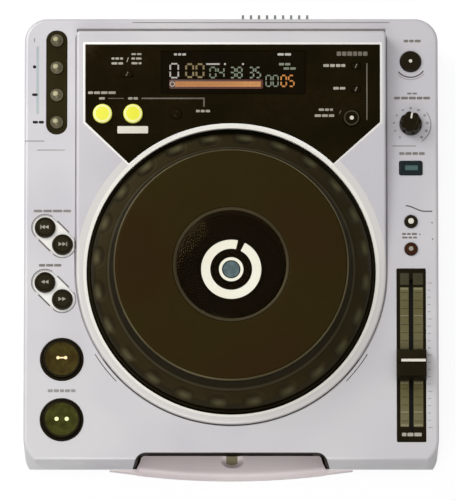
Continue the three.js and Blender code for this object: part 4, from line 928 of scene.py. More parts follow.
def film_grid(x, y, z, thick):
    """A thin skin on a grid of places: its upper face at z, its lower one a thickness below."""
    rows, columns = x.shape
    upper = np.stack([x, y, z], axis=2).reshape(-1, 3)
    points = np.vstack([upper, upper - (0, 0, thick)])
    here = np.arange(rows * columns).reshape(rows, columns)
    quads = np.stack([here[:-1, :-1], here[1:, :-1], here[1:, 1:], here[:-1, 1:]], axis=2).reshape(-1, 4)
    rim = np.concatenate([here[0, :-1], here[:-1, -1], here[-1, :0:-1], here[:0:-1, 0]])
    after, deep = np.roll(rim, -1), rows * columns
    side = np.stack([rim, after, after + deep, rim + deep], axis=1)
    return points, quads.tolist() + (quads[:, ::-1] + deep).tolist() + side.tolist()


def pit_shade_film():
    """y moves forward by bow * (1 - (dx / half)^2), more towards the front edge."""
    x, y = np.meshgrid(np.linspace(PIT_SHADE_X - PIT_SHADE_SPAN, PIT_SHADE_X + PIT_SHADE_SPAN, 25),
                       np.linspace(PIT_SHADE_REAR, PIT_SHADE_REAR - PIT_SHADE_LONG, 25))
    y -= PIT_SHADE_BOW * (1 - ((x - PIT_SHADE_X) / PIT_SHADE_HALF) ** 2) * (PIT_SHADE_REAR - y) / PIT_SHADE_LONG
    return film_grid(x, y, LIP_TOP - lip_pit(x, y) + 0.12, 0.3)


# Painted shade: an olive film for the dark of the finger pit, pale enough to allow for the shade the pit
# casts itself.
groove_olive = finish_of("groove_olive", [(160, 152, 122), (172, 164, 134), (146, 138, 108)], 0.5, gloss=0.1)
pit_shade_piece = piece("lip_pit_pad", pit_shade_film(), "case", groove_olive)
print("pad faces:", len(pit_shade_piece.data.polygons))

# %% [markdown]
# ## The jog wheel
# The ring is a turned shape with 24 finger dimples. Sinking them one by one with booleans would leave
# hard rims, so the ring is a fine grid over angle and profile instead, and one formula lowers every
# point by how far it lies inside the nearest dimple. The touch plate, its window and rims, and the
# badge below the window are turned shapes too.


# %% Jog ring
RING, RING_TOP = across("jog_ring"), high_of("jog_ring")
PLATE, PLATE_TOP = across("jog_plate"), high_of("jog_plate") - 0.1
NECK, NECK_WALL, RING_WALL = PLATE + 1.0, 6.0, 3.0
LONGEST_SIDE, LEFT_OUT = 0.8, 12
DIMPLE_LONG, DIMPLE_WIDE = 5.4, 8.6
WEB_LOW, HUB_LOW, HUB_HIGH = 78.0, 75.0, 84.0
HUB_INNER, HUB_OUTER = 20.0, 24.0


def dense(profile):
    """Adds points so that no side of a closed profile is longer than the longest allowed."""
    path = []
    for p, q in zip(profile, np.roll(profile, -1, axis=0)):
        count = max(1, int(np.ceil(np.linalg.norm(q - p) / LONGEST_SIDE)))
        path += [p + (q - p) * k / count for k in range(count)]
    return np.array(path)


def ring_shape(steps=720):
    """Each point sinks by deep (1 - q)^1.5, with q = (dr / long)^2 + (r da / wide)^2 from its dimple.
    From the neck's top the profile comes back by a slanting side, without its last few points, and
    runs on under the web and round the hub."""
    band, foot = COLLAR + 9.0, COLLAR - 6.0
    inner, neck_inner = RING - RING_WALL, NECK - NECK_WALL
    side = [(RING, foot), (RING, COLLAR + 3.4), (RING - 3.4, band - 1.0)]
    neck = [(NECK + 1.8, band + 1.4), (NECK, band + 3.6), (NECK - 0.5, RING_TOP), (neck_inner, RING_TOP)]
    top = softened(side + neck, [0.6, 2.6, 1.6, 1.4, 1.6, 0.5, 0.5])
    under = [(neck_inner, WEB_LOW), (HUB_OUTER, WEB_LOW), (HUB_OUTER, HUB_HIGH), (HUB_INNER, HUB_HIGH),
             (HUB_INNER, HUB_LOW), (inner, HUB_LOW), (inner, foot)]
    profile = np.vstack([dense(top)[:-LEFT_OUT], under])
    points, faces = turned(profile, steps)
    reach = np.hypot(points[:, 0], points[:, 1])
    pitch = 2 * np.pi / DIMPLES
    angle = np.arctan2(points[:, 1], points[:, 0])
    aside = (angle + pitch / 2 + DIMPLE_PHASE) % pitch - pitch / 2
    q = ((reach - DIMPLE_REACH) / DIMPLE_LONG) ** 2 + (reach * aside / DIMPLE_WIDE) ** 2
    touched = (q < 1) & (points[:, 2] > COLLAR)
    points[touched, 2] -= DIMPLE_DEEP * (1 - q[touched]) ** 1.5
    points[:, 1] += JOG_Y
    return points, faces


jog_dark = finish_of("jog_plastic", [(22, 17, 6), (29, 24, 10), (17, 13, 4)], 0.5, grain=0.0005,
                     drift=0.02, bump=0.1, gloss=0.2, sheen_tone=WARM)
# Painted highlight: the dimples are paler olive where they catch the light.
with_dimple_highlights(jog_dark, (74, 71, 50))
# Painted highlight and shade on the ring: a paler band where the ridge by the neck catches the light, and
# near-black inside it for the shade in the groove at the neck.
for zone_radius, shade in {91.2: (58, 53, 36), 89.6: (10, 8, 3)}.items():
    with_zone(jog_dark, shade, zone_radius, COLLAR + 3)
jog_touch = finish_of("jog_touch", [(43, 35, 13), (48, 40, 16), (47, 33, 15)], 0.42, grain=0.0008,
                      drift=0.08, bump=0.12, gloss=0.05, sheen_tone=WARM)
ring = piece("jog_wheel_ring", ring_shape(), "jog", jog_dark, "jog_ring", crease=50)
print("ring vertices:", len(ring.data.vertices))

# %% [markdown]
# The plate, the rims and the window turn with the ring. The badge under the window does not: it sits
# on the fixed post, with a white position ring and a pale disc that glow a little, as a lit display
# does.


# %% Touch plate, window and badge
def at_jog(profile, steps):
    """A profile turned about the wheel's own axis."""
    return turned(profile, steps, (0, JOG_Y))


WINDOW = across("jog_window")
plate_low = PLATE_TOP - 2.5
plate_path = softened([(WINDOW - 1.8, plate_low - 12), (WINDOW, plate_low - 12), (WINDOW, plate_low),
                       (PLATE, plate_low), (PLATE, PLATE_TOP - 1.0), (PLATE - 1.0, PLATE_TOP),
                       (WINDOW + 1.6, PLATE_TOP), (WINDOW + 0.3, PLATE_TOP - 0.9),
                       (WINDOW + 0.3, PLATE_TOP - 1.8), (WINDOW - 1.8, PLATE_TOP - 1.8)],
                      [0, 0, 0, 0.3, 0.4, 0.4, 0.6, 0.3, 0, 0])
piece("jog_touch_plate", at_jog(plate_path, 256), "jog", jog_touch, "jog_plate")

smoked = finish_of("jog_window", [(22, 13, 6), (26, 16, 8), (18, 11, 5)], 0.06, grain=0.01, drift=0.05,
                   bump=0.0, gloss=0.1, spread=0.02, alpha=0.35, sheen_tone=WARM)
window_path = [(0, PLATE_TOP - 1.5), (WINDOW - 0.1, PLATE_TOP - 1.5), (WINDOW, PLATE_TOP - 1.4),
               (WINDOW, PLATE_TOP - 0.55), (WINDOW - 0.4, PLATE_TOP - 0.3), (0, PLATE_TOP - 0.3)]
piece("jog_clear_window", at_jog(window_path, 192), "jog", smoked, "jog_window")

rim_path = softened([(PLATE + 0.05, RING_TOP - 1.0), (PLATE + 1.1, RING_TOP - 1.0),
                     (PLATE + 1.1, PLATE_TOP - 1.5), (PLATE + 0.6, PLATE_TOP - 0.9),
                     (PLATE + 0.05, PLATE_TOP - 0.9)], [0, 0, 0.3, 0.3, 0])
# Painted highlight: the rim round the plate is paler where its rounded edge catches the light.
rim_olive = finish_of("rim_olive", [(92, 84, 60), (104, 95, 70), (76, 69, 46)], 0.35, grain=0.0005,
                      gloss=0.2, sheen_tone=WARM)
piece("jog_plate_rim", at_jog(rim_path, 256), "jog", rim_olive)
brow_path = softened([(WINDOW - 1.6, PLATE_TOP - 0.35), (WINDOW + 0.6, PLATE_TOP - 0.35),
                      (WINDOW + 0.6, PLATE_TOP), (WINDOW - 0.2, PLATE_TOP + 0.04)], [0, 0, 0.1, 0.2])
# Painted highlight: the brow round the window is paler where its edge catches the light.
brow_grey = finish_of("brow_grey", [(58, 52, 38), (66, 60, 46), (50, 45, 32)], 0.35, grain=0.0005,
                      gloss=0.2, sheen_tone=WARM)
piece("jog_window_brow", at_jog(brow_path, 192), "jog", brow_grey)
print("plate radius:", round(PLATE, 1), "mm, window radius:", round(WINDOW, 1), "mm")


# %% Badge
def arc_band(x, y, inner, outer, start, end, steps=96):
    """A flat band between two radii, from one clock angle to another, clockwise from the rear."""
    a = np.radians(90 - np.linspace(start, end, steps + 1))
    spokes = np.column_stack([np.cos(a), np.sin(a)])
    return np.vstack([outer * spokes, inner * spokes[::-1]]) + (x, y)


SHOWN, SHOWN_TOP = across("jog_display"), high_of("jog_display")
badge_dark = finish_of("jog_display", [(20, 12, 6), (24, 15, 8), (16, 10, 5)], 0.45, grain=0.001,
                       bump=0.0, gloss=0.02)
shown_path = softened([(0, SHOWN_TOP - 2), (SHOWN, SHOWN_TOP - 2), (SHOWN, SHOWN_TOP - 0.6),
                       (SHOWN - 0.6, SHOWN_TOP - 0.1), (0, SHOWN_TOP - 0.1)], [0, 0.2, 0.3, 0.3, 0])
piece("jog_display_disc", at_jog(shown_path, 128), "case", badge_dark, "jog_display")
lit_white = finish_of("lit_white", [(250, 247, 230), (252, 250, 236), (246, 242, 222)], 0.4,
                      grain=0.002, glow=1.9)
lit_grey = finish_of("lit_grey", [(118, 142, 146), (150, 172, 176), (96, 120, 126)], 0.4, grain=0.0016,
                     drift=0.006, glow=1.0)
POSITION_RING, BADGE_RING, BADGE_HEART = (15.4, 22.1, 27, 373), (6.8, 9.0, 0, 359.9), 6.0
film = [(0, SHOWN_TOP - 0.15), (0, SHOWN_TOP)]
glowing = [arc_band(0, JOG_Y, *POSITION_RING, 160), arc_band(0, JOG_Y, *BADGE_RING)]
piece("jog_position_ring", merged(carried(band, film) for band in glowing), "case", lit_white)
piece("jog_badge_heart", carried(circle(0, JOG_Y, BADGE_HEART, 48), film), "case", lit_grey)
print("jog pieces made, badge radius:", round(SHOWN, 1), "mm")

# %% [markdown]
# ## Buttons
# A round button is a turned profile: a stem down to its switch, a skirt under the deck, a rounded
# rim, and a top that is crowned or dished. One function takes each button's place and size from its
# solid, so a moved solid moves its cap. Keys with corners are carried outlines with a round-over.


# %% Round buttons
STEM_RADIUS, RIM_SHARE, SKIRT = 2.0, 2.2, 5.0


def cap_path(radius, top, skirt, stem, crown, rim):
    """Crown is how far the middle stands above the rim, or below it where negative:
    z = top + crown (1 - (1 - t)^2) along the face, from the rim in to the middle."""
    inner = radius - RIM_SHARE * rim
    side = softened([(radius - 0.4, skirt), (radius, skirt), (radius, top), (inner, top)],
                    [0, 0.3, rim, 0], 6)[1:]
    t = np.linspace(0, 1, 9)[1:]
    face = np.column_stack([inner * (1 - t), top + crown * (1 - (1 - t) ** 2)])
    start = np.array([(0, stem), (STEM_RADIUS, stem), (STEM_RADIUS, skirt)])
    return np.vstack([start, side, face])


def deck_button(node, name, finish, proud, crown, rim=0.7):
    path = cap_path(across(node), DECK + proud, DECK - SKIRT, low_of(node), crown, rim)
    return piece(name, turned(path, 96, middle(node)), node, finish, node)


def lens(node, name, radius, rim_radius, top, crown, finish):
    """A skin on a button's face: z = top + crown (1 - (r / rim_radius)^2), a tenth above it."""
    r = np.linspace(radius, 0, 9)
    upper = np.column_stack([r, top + 0.1 + crown * (1 - (r / rim_radius) ** 2)])
    lower = [(0, upper[-1][1] - 0.3), (radius, upper[0][1] - 0.3)]
    return piece(name, turned(np.vstack([lower, upper]), 96, middle(node)), node, finish)


print("button helpers ready")

# %% [markdown]
# The four cue point buttons are smoked caps, each with a painted highlight a little off its middle: a
# cream film that follows the crown. The track and search buttons are black, with a dull face set in a glossy
# rim.

# %% Small round buttons
smoke = finish_of("point_smoke", [(84, 78, 54), (96, 90, 66), (70, 64, 44)], 0.3, grain=0.003, gloss=0.5,
                  coat=0.3, sheen_tone=(255, 246, 205))
cream_lens = finish_of("cream_lens", [(192, 186, 146), (206, 200, 160), (172, 164, 124)], 0.3,
                       grain=0.002, gloss=0.4)
key_olive = finish_of("key_olive", [(38, 35, 24), (46, 43, 31), (31, 28, 18)], 0.35, grain=0.0012,
                      gloss=0.1, sheen_tone=WARM)
master_brown = finish_of("master_brown", [(58, 28, 18), (66, 34, 22), (50, 23, 14)], 0.3, grain=0.0012,
                         gloss=0.15, sheen_tone=WARM)
POINT_PROUD, POINT_CROWN, POINT_RIM = 0.9, 1.5, 0.5
PAIR_PROUD, PAIR_CROWN, PAIR_RIM = 2.0, 0.2, 0.9
for index in range(1, 5):
    node = f"cue_point_button_{index}"
    deck_button(node, f"cue_point_cap_{index}", smoke, POINT_PROUD, POINT_CROWN, POINT_RIM)
    dome = across(node) - RIM_SHARE * POINT_RIM
    # A cream film on each dome is a painted highlight.
    skin, faces = turned([(0, 0), (1.9, 0), (1.9, 0.3), (1.6, 0.42), (0, 0.42)], 32, (-1.0, 0.9))
    skin[:, 2] += DECK + POINT_PROUD - 0.2 + POINT_CROWN * (1 - np.sum(skin[:, :2] ** 2, axis=1) / dome ** 2)
    piece(f"cue_point_lens_{index}", (skin + (*middle(node), 0), faces), node, cream_lens)
for node in PAIRED:
    name = node.replace("_button", "")
    deck_button(node, name + "_cap", button_black, PAIR_PROUD, PAIR_CROWN, PAIR_RIM)
    lens(node, name + "_face", across(node) - 2.4, across(node) - RIM_SHARE * PAIR_RIM,
         DECK + PAIR_PROUD, PAIR_CROWN, key_olive)
deck_button("eject_button", "eject_cap", button_black, 2.2, 0.35, PAIR_RIM)
deck_button("tempo_range_button", "tempo_range_cap", button_black, 1.8, 0.35)
deck_button("master_tempo_button", "master_tempo_cap", master_brown, 1.8, 0.35)
print("small buttons:", 4 + len(PAIRED) + 3)

# %% [markdown]
# The cue and play buttons are dished black caps, each with a broad olive lens, inside a black collar
# that belongs to the case.

# %% Cue and play
olive = finish_of("button_olive", [(62, 64, 24), (78, 80, 36), (50, 50, 18)], 0.32, grain=0.0015,
                  drift=0.006, gloss=0.12, sheen_tone=WARM)
cue_olive = finish_of("cue_olive", [(62, 54, 20), (78, 70, 32), (52, 40, 14)], 0.32, grain=0.0015,
                      drift=0.006, gloss=0.12, sheen_tone=WARM)
BIG_PROUD, BIG_DISH, BIG_RIM, BIG_LENS = 2.5, -0.8, 0.6, 12.2
COLLAR_WIDE, COLLAR_LOW, COLLAR_PROUD = 1.85, 73.0, 0.8
for name, finish in [("cue", cue_olive), ("play", olive)]:
    node = name + "_button"
    deck_button(node, name + "_cap", button_black, BIG_PROUD, BIG_DISH, BIG_RIM)
    lens(node, name + "_lens", BIG_LENS, across(node) - RIM_SHARE * BIG_RIM, DECK + BIG_PROUD,
         BIG_DISH, finish)
for name in ("cue", "play"):
    node = name + "_ring"
    outer, high = across(node), DECK + COLLAR_PROUD
    inner = outer - COLLAR_WIDE
    corners = [(inner, COLLAR_LOW), (outer, COLLAR_LOW), (outer, high), (inner, high)]
    path = softened(corners, [0, 0, 0.7, 0.5])
    piece(name + "_collar", turned(path, 128, middle(node)), "case", trim_black, node)
print("cue and play made, collar radius:", round(across("cue_ring"), 1), "mm")

# %% [markdown]
# The keys on the panel stand square to its slope: they are made flat in the panel's own frame and
# tilted last. The loop buttons are yellow and glow a little, which is painted light, and their paler
# edge is a painted highlight.


# %% Panel buttons and the jog mode key
def panel_button(name, finish, proud, crown, rim=0.6):
    node = name + "_button"
    path = cap_path(ROUND_KEYS[node], proud, -6.0, STEM_END, crown, rim)
    return piece(name + "_cap", sloped(turned(path, 96, panel_place(node))), node, finish, node)


STEM_END = -8.0
# The yellows glow a little, which is painted light; the pale yellow is a painted highlight on the edge.
yellow = finish_of("button_yellow", [(246, 245, 84), (250, 248, 104), (240, 238, 72)], 0.4, grain=0.0012,
                   bump=0.05, gloss=0.15, glow=0.12)
pale_yellow = finish_of("pale_yellow", [(250, 249, 182), (253, 252, 200), (246, 244, 164)], 0.4,
                        grain=0.0012, gloss=0.15, glow=0.12)
edge_path = [(5.0, 2.2), (5.6, 2.2), (6.4, 1.8), (6.8, 1.4), (6.8, 0.4), (7.06, 0.4), (7.06, 1.5),
             (6.9, 2.0), (6.5, 2.3), (5.7, 2.44), (5.0, 2.48)]
for name in ("loop_in", "loop_out"):
    panel_button(name, yellow, 2.3, 0.25)
    node = name + "_button"
    piece(name + "_edge", sloped(turned(edge_path, 72, panel_place(node))), node, pale_yellow)
panel_button("reloop", panel_black, 1.3, 0.25, 0.5)
panel_button("return", panel_black, 1.3, 0.25)


def key_shape(outline, stages, at, stem_low, stem_radius):
    """A key with corners, and the stem under it, which runs a little way up into it."""
    stem_high = stages[0][1] + 0.2
    stem = [(0, stem_low), (stem_radius, stem_low), (stem_radius, stem_high), (0, stem_high)]
    return merged([carried(outline, stages), turned(stem, 24, at)])


for node, (wide, deep) in SQUARE_KEYS.items():
    at = panel_place(node)
    stages = round_over(-6.0, 1.0, 0.5) + [(0.9, 1.05)]
    key = key_shape(rounded_box(*at, wide, deep, deep / 3), stages, at, STEM_END, 1.0)
    piece(node.replace("button", "key"), sloped(key), node, panel_black, node)
teal = finish_of("button_teal", [(10, 26, 27), (14, 34, 35), (7, 20, 21)], 0.25, grain=0.0015,
                 gloss=0.12, coat=0.1)
MODE_PROUD = 1.4
at = middle("jog_mode_button")
stages = round_over(DECK - SKIRT, DECK + MODE_PROUD, 0.8)
key = key_shape(rounded_box(*at, 16.6, 10.2, 1.4), stages, at, low_of("jog_mode_button"), STEM_RADIUS)
piece("jog_mode_key", key, "jog_mode_button", teal, "jog_mode_button")
print("panel buttons:", len(ROUND_KEYS), "round,", len(SQUARE_KEYS), "with corners")

# %% [markdown]
# ## Knob and fader
# The knob is a turned shape whose side is pulled in by seven flutes: the radius of each point on the
# side shrinks near each flute, more towards the top. The fader cap is one outline seen from the side,
# with its two grips and the valley between them, carried across with rounded ends.


# %% Knob
FLUTES, FLUTE_DEEP, FLUTE_WIDE, FLUTE_FADE = 7, 0.16, 0.16, 2.5
KNOB_STEM, KNOB_STEM_LOW, KNOB_GAP, KNOB_FACE = 3.0, 65.3, 0.8, 5.5


def knob_shape(steps=210):
    """The radius is times 1 - deep * fade * exp(-(da / wide)^2), where da is the angle from the nearest
    of seven flutes and fade grows from 0 to 1 above the knob's foot."""
    radius, low, top = across("jog_adjust_knob"), DECK + KNOB_GAP, high_of("jog_adjust_knob")
    stem = [(0, KNOB_STEM_LOW), (KNOB_STEM, KNOB_STEM_LOW), (KNOB_STEM, low)]
    side = [(radius, low), (radius, low + 4), (radius - 0.8, top - 0.8), (radius - 1.6, top)]
    face = [(5.0, top), (4.4, top - 0.4), (0, top - 0.4)]
    path = softened(stem + side + face, [0, 0, 0, 0.4, 1.0, 0.8, 0.8, 0.4, 0.4, 0])
    points, faces = turned(path, steps)
    reach = np.hypot(points[:, 0], points[:, 1])
    pitch = 2 * np.pi / FLUTES
    aside = np.arctan2(points[:, 1], points[:, 0]) % pitch - pitch / 2
    fade = np.clip((points[:, 2] - low - FLUTE_FADE) / FLUTE_FADE, 0, 1) * (reach > KNOB_FACE)
    points[:, :2] *= (1 - FLUTE_DEEP * fade * np.exp(-(aside / FLUTE_WIDE) ** 2))[:, None]
    return points + (*middle("jog_adjust_knob"), 0), faces


knob = piece("jog_adjust_cap", knob_shape(), "jog_adjust_knob", knob_black, "jog_adjust_knob")
print("knob faces:", len(knob.data.polygons))


# %% Fader
FADER_X, CAP_Y = middle("fader_cap")
FADER_Y, FADER_HALF = middle("fader_plate")[1], depth_of("fader_plate") / 2
CAP_HALF, CAP_SIDE_ROUND = 11.5, 0.5
BED_LOW, BED_WIDE, TRACK_WIDE, TRACK_END = 73.0, 21.0, 2.6, 7.6


def fader_cap_shape():
    """Outline in (y, z) of a cap 23 mm long, with two grips and a valley 3 mm deep between them. The
    stem under it is short in front, so that it stays in the bed's track at the end of its travel."""
    half, low, top = CAP_HALF, DECK + 0.3, high_of("fader_cap")
    foot = [(-half, low), (half, low)]
    rear_grip = [(half - 1.0, top - 2.6), (half - 2.4, top), (half - 3.6, top - 0.6)]
    valley = [(3.8, top - 2.9), (3.5, top - 1.5), (0.8, top - 1.5), (0.5, top - 2.9), (-1.5, top - 3.0)]
    front_grip = [(-half + 3.6, top - 0.6), (-half + 2.4, top), (-half + 1.0, top - 2.6)]
    outline = softened(foot + rear_grip + valley + front_grip,
                       [0.5, 0.5, 1.2, 1.0, 1.2, 0.9, 0.5, 0.5, 0.9, 2.0, 1.2, 1.0, 1.2], 4)
    wide, r = across("fader_cap"), CAP_SIDE_ROUND
    turn = np.linspace(0, np.pi / 2, 5)
    near = [(r * (1 - math.sin(a)), -wide + r * (1 - math.cos(a))) for a in turn]
    far = [(inset, -x) for inset, x in reversed(near)]
    stem = box_shape((-1.0, 1.0), (-2.9, 4), (low_of("fader_cap"), low + 0.4))
    points, faces = merged([carried(outline, near + far, "x"), stem])
    return points + (FADER_X, CAP_Y, 0), faces


piece("fader_grip", fader_cap_shape(), "fader_cap", knob_black, "fader_cap")
track_long = 2 * (FADER_HALF - TRACK_END)
track = carried(rounded_box(FADER_X, FADER_Y, TRACK_WIDE, track_long, 1.25),
                [(0, BED_LOW - SPARE), (0, DECK + SPARE)])
bed = carried(rounded_box(FADER_X, FADER_Y, BED_WIDE, 2 * FADER_HALF, 0.8), [(0, BED_LOW), (0, BED)])
bed_shape = combined([bed, track], "DIFFERENCE")
bevelled(piece("fader_bed", bed_shape, "case", trim_black, "fader_plate"), 0.2)
print("fader bed", round(2 * FADER_HALF, 1), "mm long, its track", round(track_long, 1), "mm")

# %% [markdown]
# ## The display panel
# The panel is a thin black plate that follows the slope. Its outline is straight at the rear and
# bends round the wheel in front. The openings for keys and glass are cut by booleans, so a dark gap
# is left round each key as on the real thing. The glass sits in its own opening.

# %% Panel
PANEL_THICK, GLASS_DOWN = 2.2, 0.1
plate = combined([carried(panel_outline(0), [(0, -PANEL_THICK), (0, -0.25), (0.08, -0.07), (0.25, 0)]),
                  *panel_openings(OPENING_GAP, -4, 3)], "DIFFERENCE")
piece("panel_plate", sloped(plate), "case", panel_black, "display_panel")
# The pale frame round the panel's edge is a painted highlight.
frame_shape = combined([carried(panel_outline(1.9), [(0, -0.4), (0, 0.02), (0.2, 0.12)]),
                        carried(panel_outline(0.35), [(0, -2.0), (0, 2.0)])], "DIFFERENCE")
piece("panel_frame", sloped(frame_shape), "case", rim_silver)
glass_dark = finish_of("display_glass", [(17, 12, 5), (22, 16, 7), (13, 9, 4)], 0.1, grain=0.006,
                       drift=0.05, bump=0.0, gloss=0.04, sheen_tone=WARM)
glass = carried(rounded_box(*GLASS, 0.8), round_over(-4.0, -GLASS_DOWN, 0.25))
piece("display_window", sloped(glass), "case", glass_dark, "display_glass")
print("panel faces:", len(plate[1]))

# %% [markdown]
# ## Prints
# Prints are real thin slabs a tenth of a millimetre proud, one piece for each colour and body, so
# they stay sharp at any size. Lines of small print are plain bars.


# %% Print helpers
def bar(x0, x1, y0, y1, radius=0.3):
    wide, deep = abs(x1 - x0), abs(y1 - y0)
    return rounded_box((x0 + x1) / 2, (y0 + y1) / 2, wide, deep, min(radius, wide / 2.1, deep / 2.1), 3)


def stroke(points, width):
    """A polyline as one closed outline, half the width to each side."""
    p = np.asarray(points, float)
    d = np.gradient(p, axis=0)
    n = np.column_stack([-d[:, 1], d[:, 0]]) / np.linalg.norm(d, axis=1)[:, None]
    return np.vstack([p + n * width / 2, (p - n * width / 2)[::-1]])


def arc_path(x, y, radius, start, end, steps=24):
    """Places along an arc, from one clock angle to another, clockwise from the rear."""
    a = np.radians(90 - np.linspace(start, end, steps + 1))
    return np.column_stack([x + radius * np.cos(a), y + radius * np.sin(a)])


WORD_GAP = 0.35


def words(rows):
    """Lines of small print, each a few bars. A row is the line's two ends, its middle, its height,
    and how far along it each gap is, from 0 to 1."""
    bars = []
    for x0, x1, y, tall, *split in rows:
        for a, b in zip([0, *split], [*split, 1]):
            start = x0 + (x1 - x0) * a + (WORD_GAP if a else 0)
            end = x0 + (x1 - x0) * b - (WORD_GAP if b < 1 else 0)
            bars.append(bar(start, end, y - tall / 2, y + tall / 2, 0.5))
    return bars


def print_piece(name, outlines, body, finish, height, on_panel=False, thick=0.1):
    """Outlines as films from a thickness below the height to four fifths of one above it."""
    stages = [(0, height - thick), (0, height + thick / 2), (0.03, height + thick * 0.8)]
    films = [carried(outline, stages) for outline in outlines]
    shape = merged((p, f) if volume(p, f) > 0 else (p, [q[::-1] for q in f]) for p, f in films)
    return piece(name, sloped(shape) if on_panel else shape, body, finish)


def ink(name, tones, glow=0.0):
    return finish_of(name, tones, 0.5, grain=0.0008, gloss=0.1, glow=glow)


print_grey = ink("print_grey", [(140, 136, 130), (154, 150, 146), (128, 124, 116)])
print_pale = ink("print_pale", [(168, 164, 162), (178, 174, 172), (156, 152, 150)])
print_mist = ink("print_mist", [(192, 200, 200), (198, 208, 206), (186, 194, 196)])
# The white and the soft inks glow a little, which is painted light.
print_white = ink("print_white", [(230, 226, 214), (238, 234, 224), (220, 214, 200)], 0.15)
print_soft = ink("print_soft", [(176, 170, 156), (192, 186, 172), (156, 150, 136)], 0.08)
print_dim = ink("print_dim", [(118, 112, 100), (136, 129, 116), (98, 92, 80)])
print_faint = ink("print_faint", [(70, 66, 46), (80, 76, 56), (60, 56, 38)])
print_dark = ink("print_dark", [(38, 36, 34), (48, 46, 43), (28, 26, 24)])
print_line = ink("print_line", [(108, 103, 97), (118, 113, 107), (96, 92, 86)])

print("inks made")

# %% Prints on the deck
SCALE_X, SCALE_STEP, LONG_TICK, SHORT_TICK = 144.4, 5.4, 3.4, 2.2
mist = [bar(-143.9, -141.9, 96.0, 147.0, 0.9)]
pale = [bar(-145.7, -144.9, 150.2, 153.4), bar(-152.0, -137.7, 75.2, 76.0),
        bar(-143.2, -122.5, 68.5, 69.2), bar(119.0, 136.3, 71.5, 72.3)]
dark = [circle(-145.2, 131.5, 1.25, 24), bar(-147.0, -142.8, 109.5, 111.5, 0.9),
        bar(-146.5, -142.5, 88.8, 90.8, 0.9), bar(-142.0, -138.1, 88.8, 90.8, 0.9)]
line = [circle(147.9, 14.2, 0.55, 16), circle(148.3, 2.0, 0.55, 16), circle(138.9, 5.5, 0.5, 16)]
grey = words([(-145.4, -118.0, 23.0, 1.9, 0.24, 0.5, 0.78), (-141.4, -125.0, -17.7, 1.9, 0.3, 0.66),
              (127.4, 140.0, 151.0, 2.0, 0.3, 0.62), (129.8, 137.1, 111.4, 1.3, 0.5),
              (120.2, 146.7, 108.0, 2.0, 0.18, 0.4, 0.62, 0.8), (123.9, 142.7, 66.2, 2.1, 0.22, 0.5, 0.75),
              (125.8, 136.8, 5.8, 1.5, 0.3, 0.6), (125.8, 136.8, 3.1, 1.4, 0.4, 0.7)])
pale += words([(-134.7, -114.3, -111.5, 2.2, 0.2, 0.42, 0.6, 0.82)])
for pair in PAIRS:
    path = capsule(pair, 9.9)
    line += [stroke(path[CAPSULE_TURN:-2], 0.55), stroke(path[2:CAPSULE_TURN], 0.55)]
    centre = np.mean([middle(node) for node in pair], axis=0)
    line += [stroke([centre + side + (-4.2, 4.2), centre + side + (4.2, -4.2)], 0.9) for side in (7.0, -7.0)]
eject_at, knob_at = middle("eject_button"), middle("jog_adjust_knob")
line.append(stroke(arc_path(*eject_at, 11.8, 126, 230), 1.0))
pale += [stroke(arc_path(*eject_at, 13.6, 132, 222), 0.5), stroke(arc_path(*knob_at, 14.9, 52, 146), 0.8)]
dots = arc_path(*knob_at, 12.4, -140, 140, 10)
pale += [circle(x, y, 0.75 + 0.03 * k, 16) for k, (x, y) in enumerate(dots)]
along = np.linspace(0, 1, 41)
ease = np.clip(along / 0.72, 0, 1)
line.append(stroke(np.column_stack([128.5 + 19.6 * along, 27.0 - 4.2 * ease ** 2 * (3 - 2 * ease)]), 0.95))
for k in range(-10, 11):
    reach = SHORT_TICK if k % 5 else LONG_TICK
    tick_y = FADER_Y + SCALE_STEP * k
    pale.append(bar(SCALE_X, SCALE_X + reach, tick_y - 0.25, tick_y + 0.25, 0.1))
line += [stroke(arc_path(0, JOG_Y, 117.4, *arc, 48), 0.7) for arc in ((121.5, 134), (226, 238.5))]
for name, marks, finish in [
        ("mist", mist, print_mist), ("pale", pale, print_pale), ("grey", grey, print_grey),
        ("line", line, print_line), ("dark", dark, print_dark)]:
    print_piece("deck_marks_" + name, marks, "case", finish, DECK)
print("marks on the deck:", sum(map(len, (mist, pale, grey, line, dark))))

# %% Prints on the panel
white = [bar(-83.8, -61.2, 102.2, 107.6, 0.6)]
soft = words([(-105.5, -85.1, 132.4, 1.9, 0.2, 0.45, 0.72), (-97.4, -93.1, 128.2, 1.7),
              (-76.0, -68.7, 128.2, 1.8, 0.5), (-88.2, -79.7, 157.8, 1.6, 0.3, 0.7),
              (-88.2, -79.7, 154.2, 1.7, 0.55), (-73.5, -66.1, 161.1, 1.3, 0.5),
              (-73.5, -66.1, 157.8, 1.6, 0.4), (-73.5, -66.1, 154.3, 1.6, 0.65),
              (67.9, 84.1, 152.6, 2.1, 0.28, 0.55, 0.8), (64.5, 75.0, 119.8, 1.8, 0.4, 0.75),
              (61.5, 75.9, 115.4, 1.9, 0.35, 0.7), (-25.9, -15.6, 118.8, 1.8, 0.3, 0.65),
              (75.2, 84.1, 135.7, 1.9, 0.5)])
soft.append(stroke([(-75.8, 158.6), (-76.9, 155.2)], 0.6))
dim = words([(77.8, 100.4, 161.4, 3.2, 0.16, 0.33, 0.52, 0.68, 0.84)])
dim += [bar(99.6, 100.4, 112.2, 154.4, 0.1), bar(-20.6, -19.5, 122.0, 128.0, 0.1),
        stroke([(-90.6, 128.2), (-79.2, 128.2)], 0.7), stroke([(-66.1, 128.2), (-19.5, 128.2)], 1.1),
        stroke([(80.9, 119.2), (79.5, 116.6)], 0.6)]
for name, marks, finish in [
        ("white", white, print_white), ("soft", soft, print_soft), ("dim", dim, print_dim)]:
    print_piece("panel_marks_" + name, marks, "case", finish, 0, True)
print("marks on the panel:", len(white) + len(soft) + len(dim))

